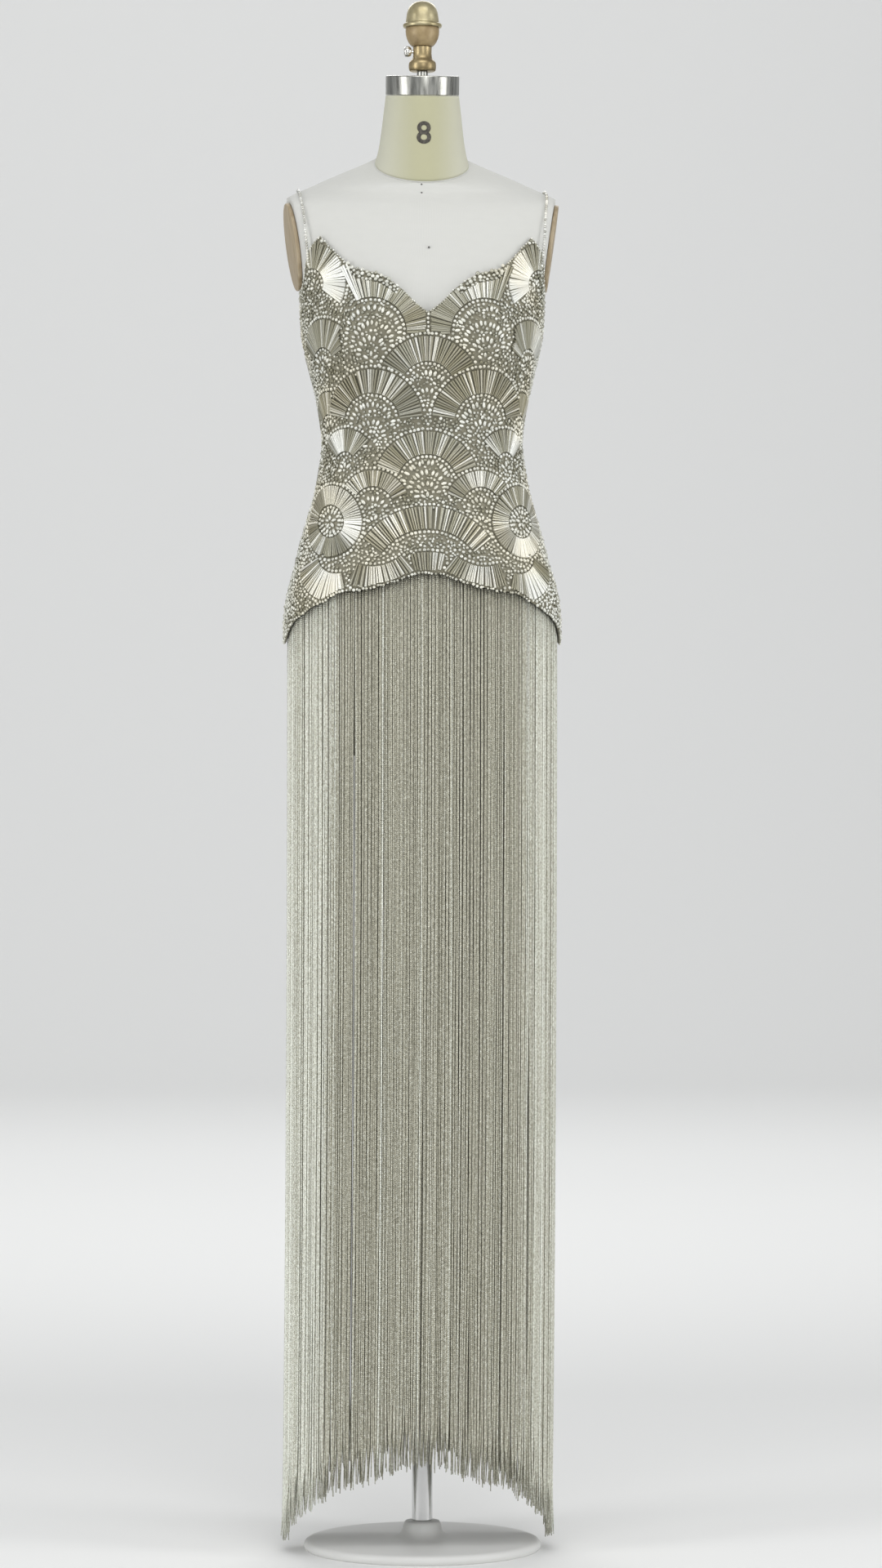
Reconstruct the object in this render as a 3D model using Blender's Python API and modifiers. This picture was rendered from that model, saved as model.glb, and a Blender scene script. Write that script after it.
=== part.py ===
# Beaded evening dress worn by a limbless dress form on a stand.
# Metres, +Z up, the front faces -Y, and the stand's underside is at z = 0 with the pole's axis at x = y = 0.
# Sizes below are in millimetres; points are turned into metres as they are placed.

import math

import bmesh
import bpy
from mathutils import Matrix, Vector

MM = 0.001
PART_NAME = "beaded_evening_dress_on_form"
CUTTERS_NAME = "cutters"

# Dress: cloth, seams and clearances
WALL = 2.4
SEAM_GAP = 0.4
CLOTH_CLEARANCE = 2.0
TAPE_GAP = 0.9
FRINGE_STRIP_HEIGHT = 12.0
TAPE_COVER = 15.0
FRINGE_THICKNESS = 2.2
FRINGE_HANG = 6.0
HEM_FLARE_HEIGHT = 78.0
STRAND_WIDTH = 2.1
FRONT_STRANDS = 106
BACK_STRANDS = 53
STRAND_LENGTH_FRONT = 1067.0
STRAND_LENGTH_SIDE = 1093.0
STRAP_RADIUS = 1.7
STRAP_REST = 0.8
STRAP_EDGE_CLEAR = 8.0
STRAP_SINK = 36.0

# Stand and knob
FORM_BOTTOM = 970.0
FORM_COLUMNS = 40
SEAT_GAP = 0.3
BASE_RADIUS = 145.0
BASE_THICKNESS = 12.0
HUB_RADIUS = 24.0
HUB_TOP = 34.0
POLE_RADIUS = 12.5
CAP_HEIGHT = 24.0
CAP_RADIUS = 45.0
ROD_RADIUS = 6.7
SCREW_SHAFT_RADIUS = 2.2
SCREW_BORE_RADIUS = 2.5
SCREW_HEIGHT = 1831.0
SCREW_HEAD_X = -22.5

# Level sections of the body from the hips to the neck seam. A section is a rounded oval: half_width to each side,
# front and back depth from its centre line, squareness (2 is an ellipse), where the centre line lies along Y, and
# how steeply the section leans (rise per length towards the back).
BODY_COLUMNS = ("half_width", "front", "back", "squareness", "centre", "lean")
BODY_ROWS = (
    (970, 149.0, 92, 100, 2.3, 0, 0.00),
    (1040, 156.5, 103, 114, 2.3, 0, 0.00),
    (1110, 158.0, 107, 121, 2.3, 0, 0.00),
    (1165, 156.0, 105, 118, 2.3, 0, 0.00),
    (1195, 152.0, 102, 112, 2.3, 0, 0.00),
    (1240, 141.0, 97, 101, 2.3, 0, 0.00),
    (1285, 128.0, 91, 91, 2.2, 0, 0.00),
    (1345, 118.0, 86, 83, 2.2, 0, 0.00),
    (1390, 121.5, 88, 86, 2.2, 0, 0.00),
    (1435, 132.0, 94, 94, 2.3, 0, 0.00),
    (1475, 141.0, 100, 101, 2.4, 1, 0.00),
    (1505, 144.0, 103, 105, 2.4, 1, 0.00),
    (1538, 146.0, 100, 108, 2.4, 2, 0.00),
    (1560, 153.0, 95, 109, 2.4, 2, 0.00),
    (1590, 168.0, 86, 105, 2.45, 3, 0.00),
    (1620, 178.0, 76, 96, 2.45, 5, 0.00),
    (1640, 179.0, 68, 82, 2.4, 7, 0.02),
    (1648, 173.0, 64, 74, 2.35, 8, 0.05),
    (1655, 161.0, 61, 68, 2.3, 8, 0.10),
    (1665, 137.0, 58, 62, 2.25, 8, 0.19),
    (1675, 113.0, 57, 56, 2.2, 7, 0.28),
    (1685, 85.0, 55, 52, 2.1, 6, 0.38),
    (1693, 59.5, 53, 51, 2.0, 6, 0.52),
)

# The neck, from its seam up to the silver cap, in the same columns.
NECK_ROWS = (
    (1693, 58.0, 52, 50, 2.0, 6, 0.52),
    (1705, 54.5, 50, 49, 2.0, 4, 0.43),
    (1725, 51.0, 48, 48, 2.0, 2, 0.30),
    (1750, 48.0, 46, 46, 2.0, -1, 0.20),
    (1777, 44.8, 44.8, 44.8, 2.0, -3, 0.14),
)

# Fullness of the bust on the front of the body: two soft rounds that one bump formula makes.
BUST_SIDE = 77.0
BUST_HEIGHT = 1484.0
BUST_RADIUS = 43.0
BUST_FULLNESS = 23.0

# The flat that the arm plates lie on, which leans outwards upwards and backwards from its x at ARM_FLAT_LOW.
ARM_FLAT_START = 1537.0
ARM_FLAT_LOW = 1546.0
ARM_FLAT_X = 148.5
ARM_FLAT_RISE = 0.142
ARM_FLAT_TURN = 0.10
PLATE_CENTRE = (5.0, 1592.0)
PLATE_HALF_DEPTH = 41.0
PLATE_HALF_HEIGHT = 54.0
PLATE_THICKNESS = 5.0

# Edges of the bodice as (degrees from the side seam, height). Front: from the side over the ear's point at 46.5
# degrees and the scalloped cup to the V at the centre. Back: nearly straight.
FRONT_NECKLINE = (
    (0, 1538), (6, 1539), (12, 1542), (19, 1552), (24, 1562), (30, 1572), (36, 1583), (41.5, 1591),
    (46.5, 1598), (50.5, 1583), (54.5, 1567), (60, 1556), (65, 1553), (70.5, 1550), (76, 1541),
    (81.5, 1529), (86.5, 1513), (90, 1503),
)
BACK_NECKLINE = ((0, 1538), (15, 1535), (30, 1524), (50, 1507), (70, 1496), (90, 1492))
FRONT_HEM = (
    (0, 1107), (6, 1114), (12, 1122), (19, 1131), (26, 1138), (42, 1153), (54, 1166), (66, 1169),
    (74, 1174), (80, 1180), (85, 1187), (90, 1188.5),
)
BACK_HEM = ((0, 1107), (12, 1121), (26, 1137), (42, 1152), (60, 1165), (75, 1174), (90, 1178))


# Reading the tables

def smooth_row(rows, height):
    """The table's columns at a height, on smooth curves through its rows."""
    height = min(max(height, rows[0][0]), rows[-1][0])
    index = max(i for i in range(len(rows) - 1) if rows[i][0] <= height or i == 0)
    low, high = rows[index], rows[index + 1]
    before = rows[max(index - 1, 0)]
    after = rows[min(index + 2, len(rows) - 1)]
    span = high[0] - low[0]
    t = (height - low[0]) / span
    values = []
    for column in range(1, len(low)):
        slope_low = (high[column] - before[column]) / (high[0] - before[0])
        slope_high = (after[column] - low[column]) / (after[0] - low[0])
        values.append(
            (2 * t ** 3 - 3 * t ** 2 + 1) * low[column]
            + (t ** 3 - 2 * t ** 2 + t) * span * slope_low
            + (3 * t ** 2 - 2 * t ** 3) * high[column]
            + (t ** 3 - t ** 2) * span * slope_high
        )
    return dict(zip(BODY_COLUMNS, values))


def edge_height(table, degrees):
    """Height of an edge at an angle, straight between the table's points."""
    for (start, low), (end, high) in zip(table, table[1:]):
        if degrees <= end:
            return low + (high - low) * (degrees - start) / (end - start)
    return table[-1][1]


def soft_step(value):
    value = min(max(value, 0.0), 1.0)
    return value * value * (3 - 2 * value)


# Shape of the body. A turn is an angle in radians: 0 is the wearer's left side (+X), a quarter turn is the
# front, half a turn is the other side and three quarters is the back.

def oval_point(size, height, turn, lift):
    """A point of one section, moved out by lift."""
    power = 2.0 / size["squareness"]
    cosine, sine = math.cos(turn), math.sin(turn)
    depth = (size["front"] if sine > 0 else size["back"]) + lift
    x = math.copysign(abs(cosine) ** power, cosine) * (size["half_width"] + lift)
    y = -math.copysign(abs(sine) ** power, sine) * depth
    return Vector((x, y + size["centre"], height + size["lean"] * y))


def body_point(height, turn, lift=0.0):
    """A point of the covered form, moved out by lift, with the bust and the flat for the arm plate."""
    point = oval_point(smooth_row(BODY_ROWS, height), height, turn, lift)
    if math.sin(turn) > 0:
        across = (abs(point.x) - BUST_SIDE) / BUST_RADIUS
        upward = (point.z - BUST_HEIGHT) / BUST_RADIUS
        point.y -= BUST_FULLNESS * math.sin(turn) * math.exp(-0.5 * (across ** 2 + upward ** 2))
    if height > ARM_FLAT_START:
        flat = ARM_FLAT_X + ARM_FLAT_RISE * (point.z - ARM_FLAT_LOW) + ARM_FLAT_TURN * point.y + lift
        point.x = math.copysign(min(abs(point.x), flat), point.x)
    return point


def hang_point(height, turn, lift=0.0):
    """A point of the upright oval that the fringe hangs in, just outside the fullest part of the hips."""
    hips = dict(zip(BODY_COLUMNS, BODY_ROWS[2][1:]))
    return oval_point(hips, height, turn, FRINGE_HANG + lift)


def side_degrees(turn):
    """Degrees from the nearer side seam, 0 to 90."""
    degrees = math.degrees(turn) % 180.0
    return min(degrees, 180.0 - degrees)


def hem_height(turn):
    table = FRONT_HEM if math.sin(turn) > -1e-9 else BACK_HEM
    return edge_height(table, side_degrees(turn))


def neckline_height(turn):
    table = FRONT_NECKLINE if math.sin(turn) > -1e-9 else BACK_NECKLINE
    return edge_height(table, side_degrees(turn))


def bodice_point(height, turn):
    """A point of the bodice's outer face: close to the form above, flared over the fringe's tape at the hem."""
    close = body_point(height, turn, CLOTH_CLEARANCE + WALL)
    over = hang_point(height, turn, FRINGE_THICKNESS + TAPE_GAP + WALL)
    above_hem = height - hem_height(turn) - TAPE_COVER
    share = 1.0 - soft_step(above_hem / HEM_FLARE_HEIGHT)
    return close.lerp(over, share)


# Making meshes and objects

def part_material(name, colour, roughness, metallic=0.0):
    material = bpy.data.materials.new(name)
    material.use_nodes = True
    shader = material.node_tree.nodes["Principled BSDF"]
    shader.inputs["Base Color"].default_value = (*colour, 1.0)
    shader.inputs["Roughness"].default_value = roughness
    shader.inputs["Metallic"].default_value = metallic
    material.diffuse_color = (*colour, 1.0)
    return material


def add_object(name, mesh, material, collection):
    part = bpy.data.objects.new(name, mesh)
    mesh.materials.append(material)
    collection.objects.link(part)
    return part


def grid_mesh(name, rows, closed=False, capped=False):
    """A mesh through rows of points, in millimetres, with the faces pointing out for turns that grow row by row."""
    mesh = bpy.data.meshes.new(name)
    build = bmesh.new()
    lines = [[build.verts.new(point * MM) for point in row] for row in rows]
    for lower, upper in zip(lines, lines[1:]):
        count = len(lower)
        for i in range(count if closed else count - 1):
            j = (i + 1) % count
            build.faces.new((lower[i], upper[i], upper[j], lower[j]))
    if capped:
        build.faces.new(lines[0])
        build.faces.new(list(reversed(lines[-1])))
    build.normal_update()
    bmesh.ops.recalc_face_normals(build, faces=build.faces)
    build.to_mesh(mesh)
    build.free()
    mesh.shade_smooth()
    mesh.set_sharp_from_angle(angle=math.radians(40))
    return mesh


def turned_mesh(name, profile):
    """The profile of a turned piece, (radius, height) from the top down its outer side, as a chain of edges."""
    mesh = bpy.data.meshes.new(name)
    points = [(radius * MM, 0.0, height * MM) for radius, height in profile]
    mesh.from_pydata(points, [(i, i + 1) for i in range(len(points) - 1)], [])
    return mesh


def add_screw(part, steps):
    screw = part.modifiers.new("turn", "SCREW")
    screw.steps = steps
    screw.render_steps = steps
    screw.use_merge_vertices = True
    screw.merge_threshold = 0.00001


def add_bevel(part, width, segments=2):
    bevel = part.modifiers.new("edges", "BEVEL")
    bevel.width = width * MM
    bevel.segments = segments
    bevel.limit_method = "ANGLE"
    bevel.angle_limit = math.radians(40)


def add_cylinder(name, radius, length, centre, axis, vertices, material, collection):
    """A primitive cylinder with its length along the axis."""
    mesh = bpy.data.meshes.new(name)
    build = bmesh.new()
    bmesh.ops.create_cone(build, cap_ends=True, segments=vertices, radius1=radius * MM, radius2=radius * MM,
                          depth=length * MM)
    build.to_mesh(mesh)
    build.free()
    mesh.shade_smooth()
    mesh.set_sharp_from_angle(angle=math.radians(40))
    part = add_object(name, mesh, material, collection)
    part.location = Vector(centre) * MM
    part.rotation_euler = Vector(axis).to_track_quat("Z", "Y").to_euler()
    return part


def cut_bore(part, radius, length, centre, axis, cutters):
    """Cuts a round hole through or into a piece."""
    material = bpy.data.materials.get("cutter") or part_material("cutter", (1.0, 0.2, 0.2), 0.5)
    cutter = add_cylinder(part.name + "_cutter", radius, length, centre, axis, 20, material, cutters)
    cutter.hide_render = True
    cutter.display_type = "WIRE"
    cut = part.modifiers.new("bore", "BOOLEAN")
    cut.operation = "DIFFERENCE"
    cut.object = cutter


# Dress

def panel_turns(start, table, mirrored_end=None):
    """The turns of a panel's columns from its edge table, over one half or both."""
    half = [math.radians(start + degrees) for degrees, _ in table]
    if mirrored_end is None:
        return half
    return half + [math.radians(mirrored_end - degrees) for degrees, _ in reversed(table[:-1])]


def bodice_panel(name, turns, row_count, edge_shift, material, collection):
    """One panel of the bodice: an outer face between neckline and hem, given its wall inwards."""
    rows = []
    for row in range(row_count + 1):
        line = []
        for turn in turns:
            low = hem_height(turn)
            if row > 0:
                low += TAPE_COVER + (neckline_height(turn) - low - TAPE_COVER) * (row - 1) / (row_count - 1)
            line.append(bodice_point(low, turn))
        line[0] += edge_shift[0]
        line[-1] += edge_shift[1]
        rows.append(line)
    panel = add_object(name, grid_mesh(name, rows), material, collection)
    wall = panel.modifiers.new("wall", "SOLIDIFY")
    wall.thickness = WALL * MM
    wall.offset = -1.0
    wall.use_even_offset = False
    return panel


def make_bodice(collection):
    cloth = part_material("beaded_cloth", (0.50, 0.48, 0.40), 0.35, 0.6)
    half_gap = SEAM_GAP / 2
    forward, backward = Vector((0, -half_gap, 0)), Vector((0, half_gap, 0))
    right, left = Vector((half_gap, 0, 0)), Vector((-half_gap, 0, 0))
    front_turns = panel_turns(0, FRONT_NECKLINE, 180)
    bodice_panel("bodice_front", front_turns, 22, (forward, forward), cloth, collection)
    steps = 12
    back_right = [math.radians(180 + 90 * i / steps) for i in range(steps + 1)]
    back_left = [math.radians(270 + 90 * i / steps) for i in range(steps + 1)]
    bodice_panel("bodice_back_right", back_right, 20, (backward, left), cloth, collection)
    bodice_panel("bodice_back_left", back_left, 20, (right, backward), cloth, collection)


def even_stations(start, end, count):
    """Turns at even distances along the fringe's oval, between two turns."""
    samples = 400
    turns = [start + (end - start) * i / samples for i in range(samples + 1)]
    travelled = [0.0]
    for first, second in zip(turns, turns[1:]):
        step = (hang_point(0, second) - hang_point(0, first)).length
        travelled.append(travelled[-1] + step)
    stations = []
    for k in range(count):
        target = travelled[-1] * k / (count - 1)
        index = next(i for i in range(samples) if travelled[i + 1] >= target - 1e-9)
        part_way = (target - travelled[index]) / (travelled[index + 1] - travelled[index])
        stations.append(turns[index] + (turns[index + 1] - turns[index]) * part_way)
    return stations, travelled[-1]


def strand_length(turn):
    return STRAND_LENGTH_SIDE + (STRAND_LENGTH_FRONT - STRAND_LENGTH_SIDE) * abs(math.sin(turn)) ** 2


def make_fringe(name, start, end, strand_count, material, collection):
    """A header tape inside the hem, with strands drawn straight down from its underside."""
    margin = math.radians(0.35)
    centres, length = even_stations(start + 3 * margin, end - 3 * margin, strand_count)
    half = 0.5 * STRAND_WIDTH / length * (end - start - 6 * margin)
    edges = [start + margin]
    for index, centre in enumerate(centres):
        near = centres[min(index + 1, strand_count - 1)] - centres[max(index - 1, 0)]
        pitch = near / (2 if 0 < index < strand_count - 1 else 1)
        reach = half * pitch / ((end - start - 6 * margin) / (strand_count - 1))
        edges += [centre - reach, centre + reach]
    edges.append(end - margin)
    mesh = bpy.data.meshes.new(name)
    build = bmesh.new()
    columns = []
    for turn in edges:
        low = hem_height(turn) + 1.0
        high = low + FRINGE_STRIP_HEIGHT
        corners = ((low, 0), (low, FRINGE_THICKNESS), (high, FRINGE_THICKNESS), (high, 0))
        columns.append([build.verts.new(hang_point(z, turn, lift) * MM) for z, lift in corners])
    undersides = []
    for index, (first, second) in enumerate(zip(columns, columns[1:])):
        for k in range(4):
            j = (k + 1) % 4
            face = build.faces.new((first[k], first[j], second[j], second[k]))
            if k == 0 and index % 2 == 1:
                undersides.append((face, 0.5 * (edges[index] + edges[index + 1])))
    build.faces.new(columns[0])
    build.faces.new(list(reversed(columns[-1])))
    build.normal_update()
    bmesh.ops.recalc_face_normals(build, faces=build.faces)
    for face, turn in undersides:
        drawn = bmesh.ops.extrude_discrete_faces(build, faces=[face])["faces"]
        bottom = hem_height(turn) - strand_length(turn)
        for vertex in drawn[0].verts:
            vertex.co.z = bottom * MM
    build.to_mesh(mesh)
    build.free()
    add_object(name, mesh, material, collection)


def make_fringes(collection):
    beads = part_material("fringe_beads", (0.58, 0.57, 0.50), 0.35, 0.5)
    make_fringe("fringe_front", 0.0, math.pi, FRONT_STRANDS, beads, collection)
    make_fringe("fringe_back_right", math.pi, 1.5 * math.pi, BACK_STRANDS, beads, collection)
    make_fringe("fringe_back_left", 1.5 * math.pi, 2 * math.pi, BACK_STRANDS, beads, collection)


def surface_normal(height, turn):
    """The outward direction of the form's surface."""
    upward = body_point(height + 1.0, turn) - body_point(height - 1.0, turn)
    around = body_point(height, turn + 0.01) - body_point(height, turn - 0.01)
    normal = upward.cross(around)
    centre = Vector((0, smooth_row(BODY_ROWS, height)["centre"], height - 40.0))
    if normal.dot(body_point(height, turn) - centre) < 0:
        normal.negate()
    return normal.normalized()


def turn_at(height, x, back):
    """The turn where the section at a height reaches x, on the front or on the back."""
    size = smooth_row(BODY_ROWS, height)
    share = min(x / size["half_width"], 1.0)
    turn = math.acos(share ** (size["squareness"] / 2))
    return -turn if back else turn


def strap_point(height, x, back):
    """A point of the strap's centre line: on the cloth's face up to its edge, then sinking to the form."""
    turn = turn_at(height, x, back)
    on_cloth = CLOTH_CLEARANCE + WALL + STRAP_REST + STRAP_RADIUS
    on_form = STRAP_REST + STRAP_RADIUS
    past_edge = height - neckline_height(turn) - STRAP_EDGE_CLEAR
    lift = on_cloth + (on_form - on_cloth) * soft_step(past_edge / STRAP_SINK)
    return body_point(height, turn) + surface_normal(height, turn) * lift


def strap_route():
    """Points along the +X strap: from the ear's face up over the shoulder and down to the back edge."""
    route = []
    for height, x in ((1566, 137.0), (1574, 138.2), (1582, 139.2), (1592, 140.6), (1604, 142.6), (1618, 144.8),
                      (1632, 147.0), (1644, 149.0), (1651, 150.0), (1655, 150.5), (1657.5, 150.8)):
        route.append(strap_point(height, x, False))
    top = next(h / 4 for h in range(4 * 1650, 4 * 1670) if smooth_row(BODY_ROWS, h / 4)["half_width"] < 151.0)
    route.append(body_point(top, 0.0) + surface_normal(top, 0.0) * (STRAP_REST + STRAP_RADIUS))
    for height, x in ((1658, 150.4), (1656, 149.6), (1652, 148.0), (1646, 146.0), (1634, 142.5), (1618, 137.5),
                      (1600, 132.0), (1580, 126.0), (1560, 120.0), (1540, 114.0), (1524, 109.0), (1512, 105.0),
                      (1500, 101.0)):
        route.append(strap_point(height, x, True))
    return route


def make_straps(collection):
    beads = part_material("strap_beads", (0.66, 0.65, 0.58), 0.3, 0.6)
    route = strap_route()
    for name, side in (("strap_left", 1), ("strap_right", -1)):
        curve = bpy.data.curves.new(name, "CURVE")
        curve.dimensions = "3D"
        curve.bevel_depth = STRAP_RADIUS * MM
        curve.bevel_resolution = 1
        curve.use_fill_caps = True
        spline = curve.splines.new("POLY")
        spline.points.add(len(route) - 1)
        for place, point in zip(spline.points, route):
            place.co = (point.x * side * MM, point.y * MM, point.z * MM, 1.0)
        strap = bpy.data.objects.new(name, curve)
        curve.materials.append(beads)
        collection.objects.link(strap)


# Dress form

def make_form(collection, cutters):
    cover = part_material("form_cover", (0.80, 0.80, 0.77), 0.8)
    cream = part_material("neck_cover", (0.66, 0.65, 0.49), 0.8)
    around = [2 * math.pi * i / FORM_COLUMNS for i in range(FORM_COLUMNS)]
    levels = [FORM_BOTTOM + 40 * i for i in range(12)]
    levels += [1435, 1458, 1478, 1498, 1518, 1536, 1547, 1562, 1578, 1594, 1610, 1624, 1634, 1642, 1648]
    levels += [1655, 1663, 1672, 1682, 1693]
    rows = [[body_point(height, turn) for turn in around] for height in levels]
    add_object("form_torso", grid_mesh("form_torso", rows, closed=True, capped=True), cover, collection)

    rows = []
    for height in (1693, 1699, 1705, 1715, 1725, 1750, 1777):
        size = smooth_row(NECK_ROWS, height)
        row = [oval_point(size, height, turn, 0.0) for turn in around[::2]]
        rows.append([point + Vector((0, 0, SEAT_GAP)) for point in row])
    add_object("form_neck", grid_mesh("form_neck", rows, closed=True, capped=True), cream, collection)

    steel = part_material("neck_cap_steel", (0.62, 0.62, 0.60), 0.25, 1.0)
    _, _, _, _, _, centre, lean = NECK_ROWS[-1]
    up = Vector((0, -lean, 1)).normalized()
    seat = Vector((0, centre, NECK_ROWS[-1][0] + 2 * SEAT_GAP))
    cap = add_cylinder("neck_cap", CAP_RADIUS, CAP_HEIGHT, seat + up * CAP_HEIGHT / 2, up, 32, steel, collection)
    add_bevel(cap, 1.2)
    cut_bore(cap, ROD_RADIUS + SEAT_GAP, 80, (0, centre, seat.z + 12), (0, 0, 1), cutters)
    return centre


def make_arm_plates(collection):
    wood = part_material("arm_plate_board", (0.40, 0.33, 0.22), 0.6)
    for name, side in (("arm_plate_left", 1), ("arm_plate_right", -1)):
        y, z = PLATE_CENTRE
        x = ARM_FLAT_X + ARM_FLAT_RISE * (z - ARM_FLAT_LOW) + ARM_FLAT_TURN * y
        out = Vector((1, -ARM_FLAT_TURN, -ARM_FLAT_RISE)).normalized()
        along = Vector((ARM_FLAT_TURN, 1, 0)).normalized()
        up = out.cross(along).normalized()
        centre = Vector((x, y, z)) + out * (SEAT_GAP + PLATE_THICKNESS / 2)
        mesh = bpy.data.meshes.new(name)
        build = bmesh.new()
        bmesh.ops.create_cone(build, cap_ends=True, segments=28, radius1=1, radius2=1, depth=1)
        axes = Matrix((along * PLATE_HALF_DEPTH, up * PLATE_HALF_HEIGHT, out * PLATE_THICKNESS)).transposed()
        for vertex in build.verts:
            vertex.co = (axes @ vertex.co + centre) * MM
            vertex.co.x *= side
        build.normal_update()
        bmesh.ops.recalc_face_normals(build, faces=build.faces)
        build.to_mesh(mesh)
        build.free()
        mesh.shade_smooth()
        mesh.set_sharp_from_angle(angle=math.radians(40))
        plate = add_object(name, mesh, wood, collection)
        add_bevel(plate, 1.2, 1)


# Knob on the neck cap

def make_knob(knob_y, collection, cutters):
    brass = part_material("knob_brass", (0.62, 0.53, 0.34), 0.35, 0.7)
    pale = part_material("knob_dome_brass", (0.76, 0.73, 0.55), 0.3, 0.6)
    turned = part_material("knob_bulb_wood", (0.55, 0.42, 0.26), 0.45)
    steel = part_material("thumb_screw_steel", (0.75, 0.74, 0.70), 0.3, 0.9)

    rod_bottom = NECK_ROWS[-1][0] + 2.0
    flange_bottom = 1807.0
    rod_length = flange_bottom - SEAT_GAP - rod_bottom
    rod_centre = (0, knob_y, rod_bottom + rod_length / 2)
    add_cylinder("knob_rod", ROD_RADIUS, rod_length, rod_centre, (0, 0, 1), 20, steel, collection)

    profiles = (
        ("knob_stem", brass, (
            (0, 1837.0), (11.5, 1837.0), (11.2, 1830), (11.6, 1824), (13.5, 1821), (16.0, 1818.5), (16.8, 1815),
            (16.6, 1810), (15.0, 1807.0), (0, 1807.0))),
        ("knob_bulb", turned, (
            (0, 1860.3), (20.3, 1860.3), (20.6, 1856), (20.2, 1851), (18.9, 1846), (16.6, 1841.5), (13.6, 1838.3),
            (0, 1837.3))),
        ("knob_dome", pale, (
            (0, 1893.0), (7.5, 1892.0), (13.2, 1889.0), (17.2, 1884), (19.2, 1877), (20.3, 1868), (21.0, 1865.6),
            (23.5, 1864.6), (23.8, 1862.4), (22.8, 1860.6), (0, 1860.6))),
    )
    for name, material, profile in profiles:
        piece = add_object(name, turned_mesh(name, profile), material, collection)
        piece.location = (0, knob_y * MM, 0)
        add_screw(piece, 24)
    stem = collection.objects["knob_stem"]
    cut_bore(stem, SCREW_BORE_RADIUS, 20, (-15, knob_y, SCREW_HEIGHT), (1, 0, 0), cutters)

    profile = (
        (0, 17.0), (1.9, 17.0), (SCREW_SHAFT_RADIUS, 16.6), (SCREW_SHAFT_RADIUS, 9.0),
        (4.8, 8.4), (6.2, 6.6), (6.7, 4.2), (6.1, 1.6), (4.2, 0.0), (0, 0.0),
    )
    screw = add_object("thumb_screw", turned_mesh("thumb_screw", profile), steel, collection)
    screw.location = Vector((SCREW_HEAD_X, knob_y, SCREW_HEIGHT)) * MM
    screw.rotation_euler = (0, math.radians(90), 0)
    add_screw(screw, 16)


# Stand

def make_stand(collection):
    paint = part_material("stand_paint", (0.72, 0.72, 0.70), 0.4)
    chrome = part_material("pole_chrome", (0.66, 0.66, 0.66), 0.2, 1.0)
    profile = (
        (0, HUB_TOP), (HUB_RADIUS - 6, HUB_TOP), (HUB_RADIUS - 2, HUB_TOP - 3), (HUB_RADIUS, HUB_TOP - 10),
        (HUB_RADIUS + 6, BASE_THICKNESS + 5), (HUB_RADIUS + 20, BASE_THICKNESS + 1.5),
        (BASE_RADIUS - 14, BASE_THICKNESS), (BASE_RADIUS - 5, BASE_THICKNESS - 1),
        (BASE_RADIUS - 1, BASE_THICKNESS - 4), (BASE_RADIUS, BASE_THICKNESS - 8), (BASE_RADIUS - 2, 0), (0, 0),
    )
    base = add_object("stand_base", turned_mesh("stand_base", profile), paint, collection)
    add_screw(base, 36)
    length = FORM_BOTTOM - HUB_TOP - 2 * SEAT_GAP
    centre = (0, 0, HUB_TOP + SEAT_GAP + length / 2)
    add_cylinder("stand_pole", POLE_RADIUS, length, centre, (0, 0, 1), 24, chrome, collection)


def clear_scene():
    for item in list(bpy.data.objects):
        bpy.data.objects.remove(item)


def add_collection(name):
    collection = bpy.data.collections.new(name)
    bpy.context.scene.collection.children.link(collection)
    return collection


def main():
    clear_scene()
    part = add_collection(PART_NAME)
    cutters = add_collection(CUTTERS_NAME)
    knob_y = make_form(part, cutters)
    make_arm_plates(part)
    make_knob(knob_y, part, cutters)
    make_stand(part)
    make_bodice(part)
    make_fringes(part)
    make_straps(part)


main()
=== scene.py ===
# Beaded evening dress worn by a limbless dress form on a stand: the looks.
# Metres, +Z up, the front faces -Y. Tables are in millimetres, as in the part's source.

import math

import bpy
import numpy as np
from mathutils import Matrix, Vector


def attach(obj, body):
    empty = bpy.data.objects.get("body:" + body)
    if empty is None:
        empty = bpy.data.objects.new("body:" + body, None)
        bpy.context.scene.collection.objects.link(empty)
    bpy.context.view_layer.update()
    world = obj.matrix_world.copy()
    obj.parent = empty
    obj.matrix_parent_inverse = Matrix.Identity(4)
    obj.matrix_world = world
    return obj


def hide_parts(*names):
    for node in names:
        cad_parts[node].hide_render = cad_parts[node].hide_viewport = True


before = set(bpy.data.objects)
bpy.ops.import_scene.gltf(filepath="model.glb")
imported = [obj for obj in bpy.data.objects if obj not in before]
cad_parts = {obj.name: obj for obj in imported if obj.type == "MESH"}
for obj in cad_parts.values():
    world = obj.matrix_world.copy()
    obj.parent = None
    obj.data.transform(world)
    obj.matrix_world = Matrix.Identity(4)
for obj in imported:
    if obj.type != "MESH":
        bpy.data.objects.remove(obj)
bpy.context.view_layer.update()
bpy.ops.object.select_all(action="DESELECT")

# Camera: chest-high and level, six metres off, turned four degrees to the dress's right, as photographed.
view_turn = math.radians(-4.0)
view_distance = 6.0
view_side = 0.023
camera_height = 0.935
frame_height = 1.92
bpy.ops.object.camera_add(
    location=(
        view_side * math.cos(view_turn) + view_distance * math.sin(view_turn),
        view_side * math.sin(view_turn) - view_distance * math.cos(view_turn),
        camera_height,
    ),
    rotation=(math.radians(90.0), 0.0, view_turn),
)
camera = bpy.context.object
camera.name = "camera"
camera.data.sensor_fit = "VERTICAL"
camera.data.sensor_height = 36.0
camera.data.lens = camera.data.sensor_height * view_distance / frame_height
bpy.context.scene.camera = camera

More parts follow.
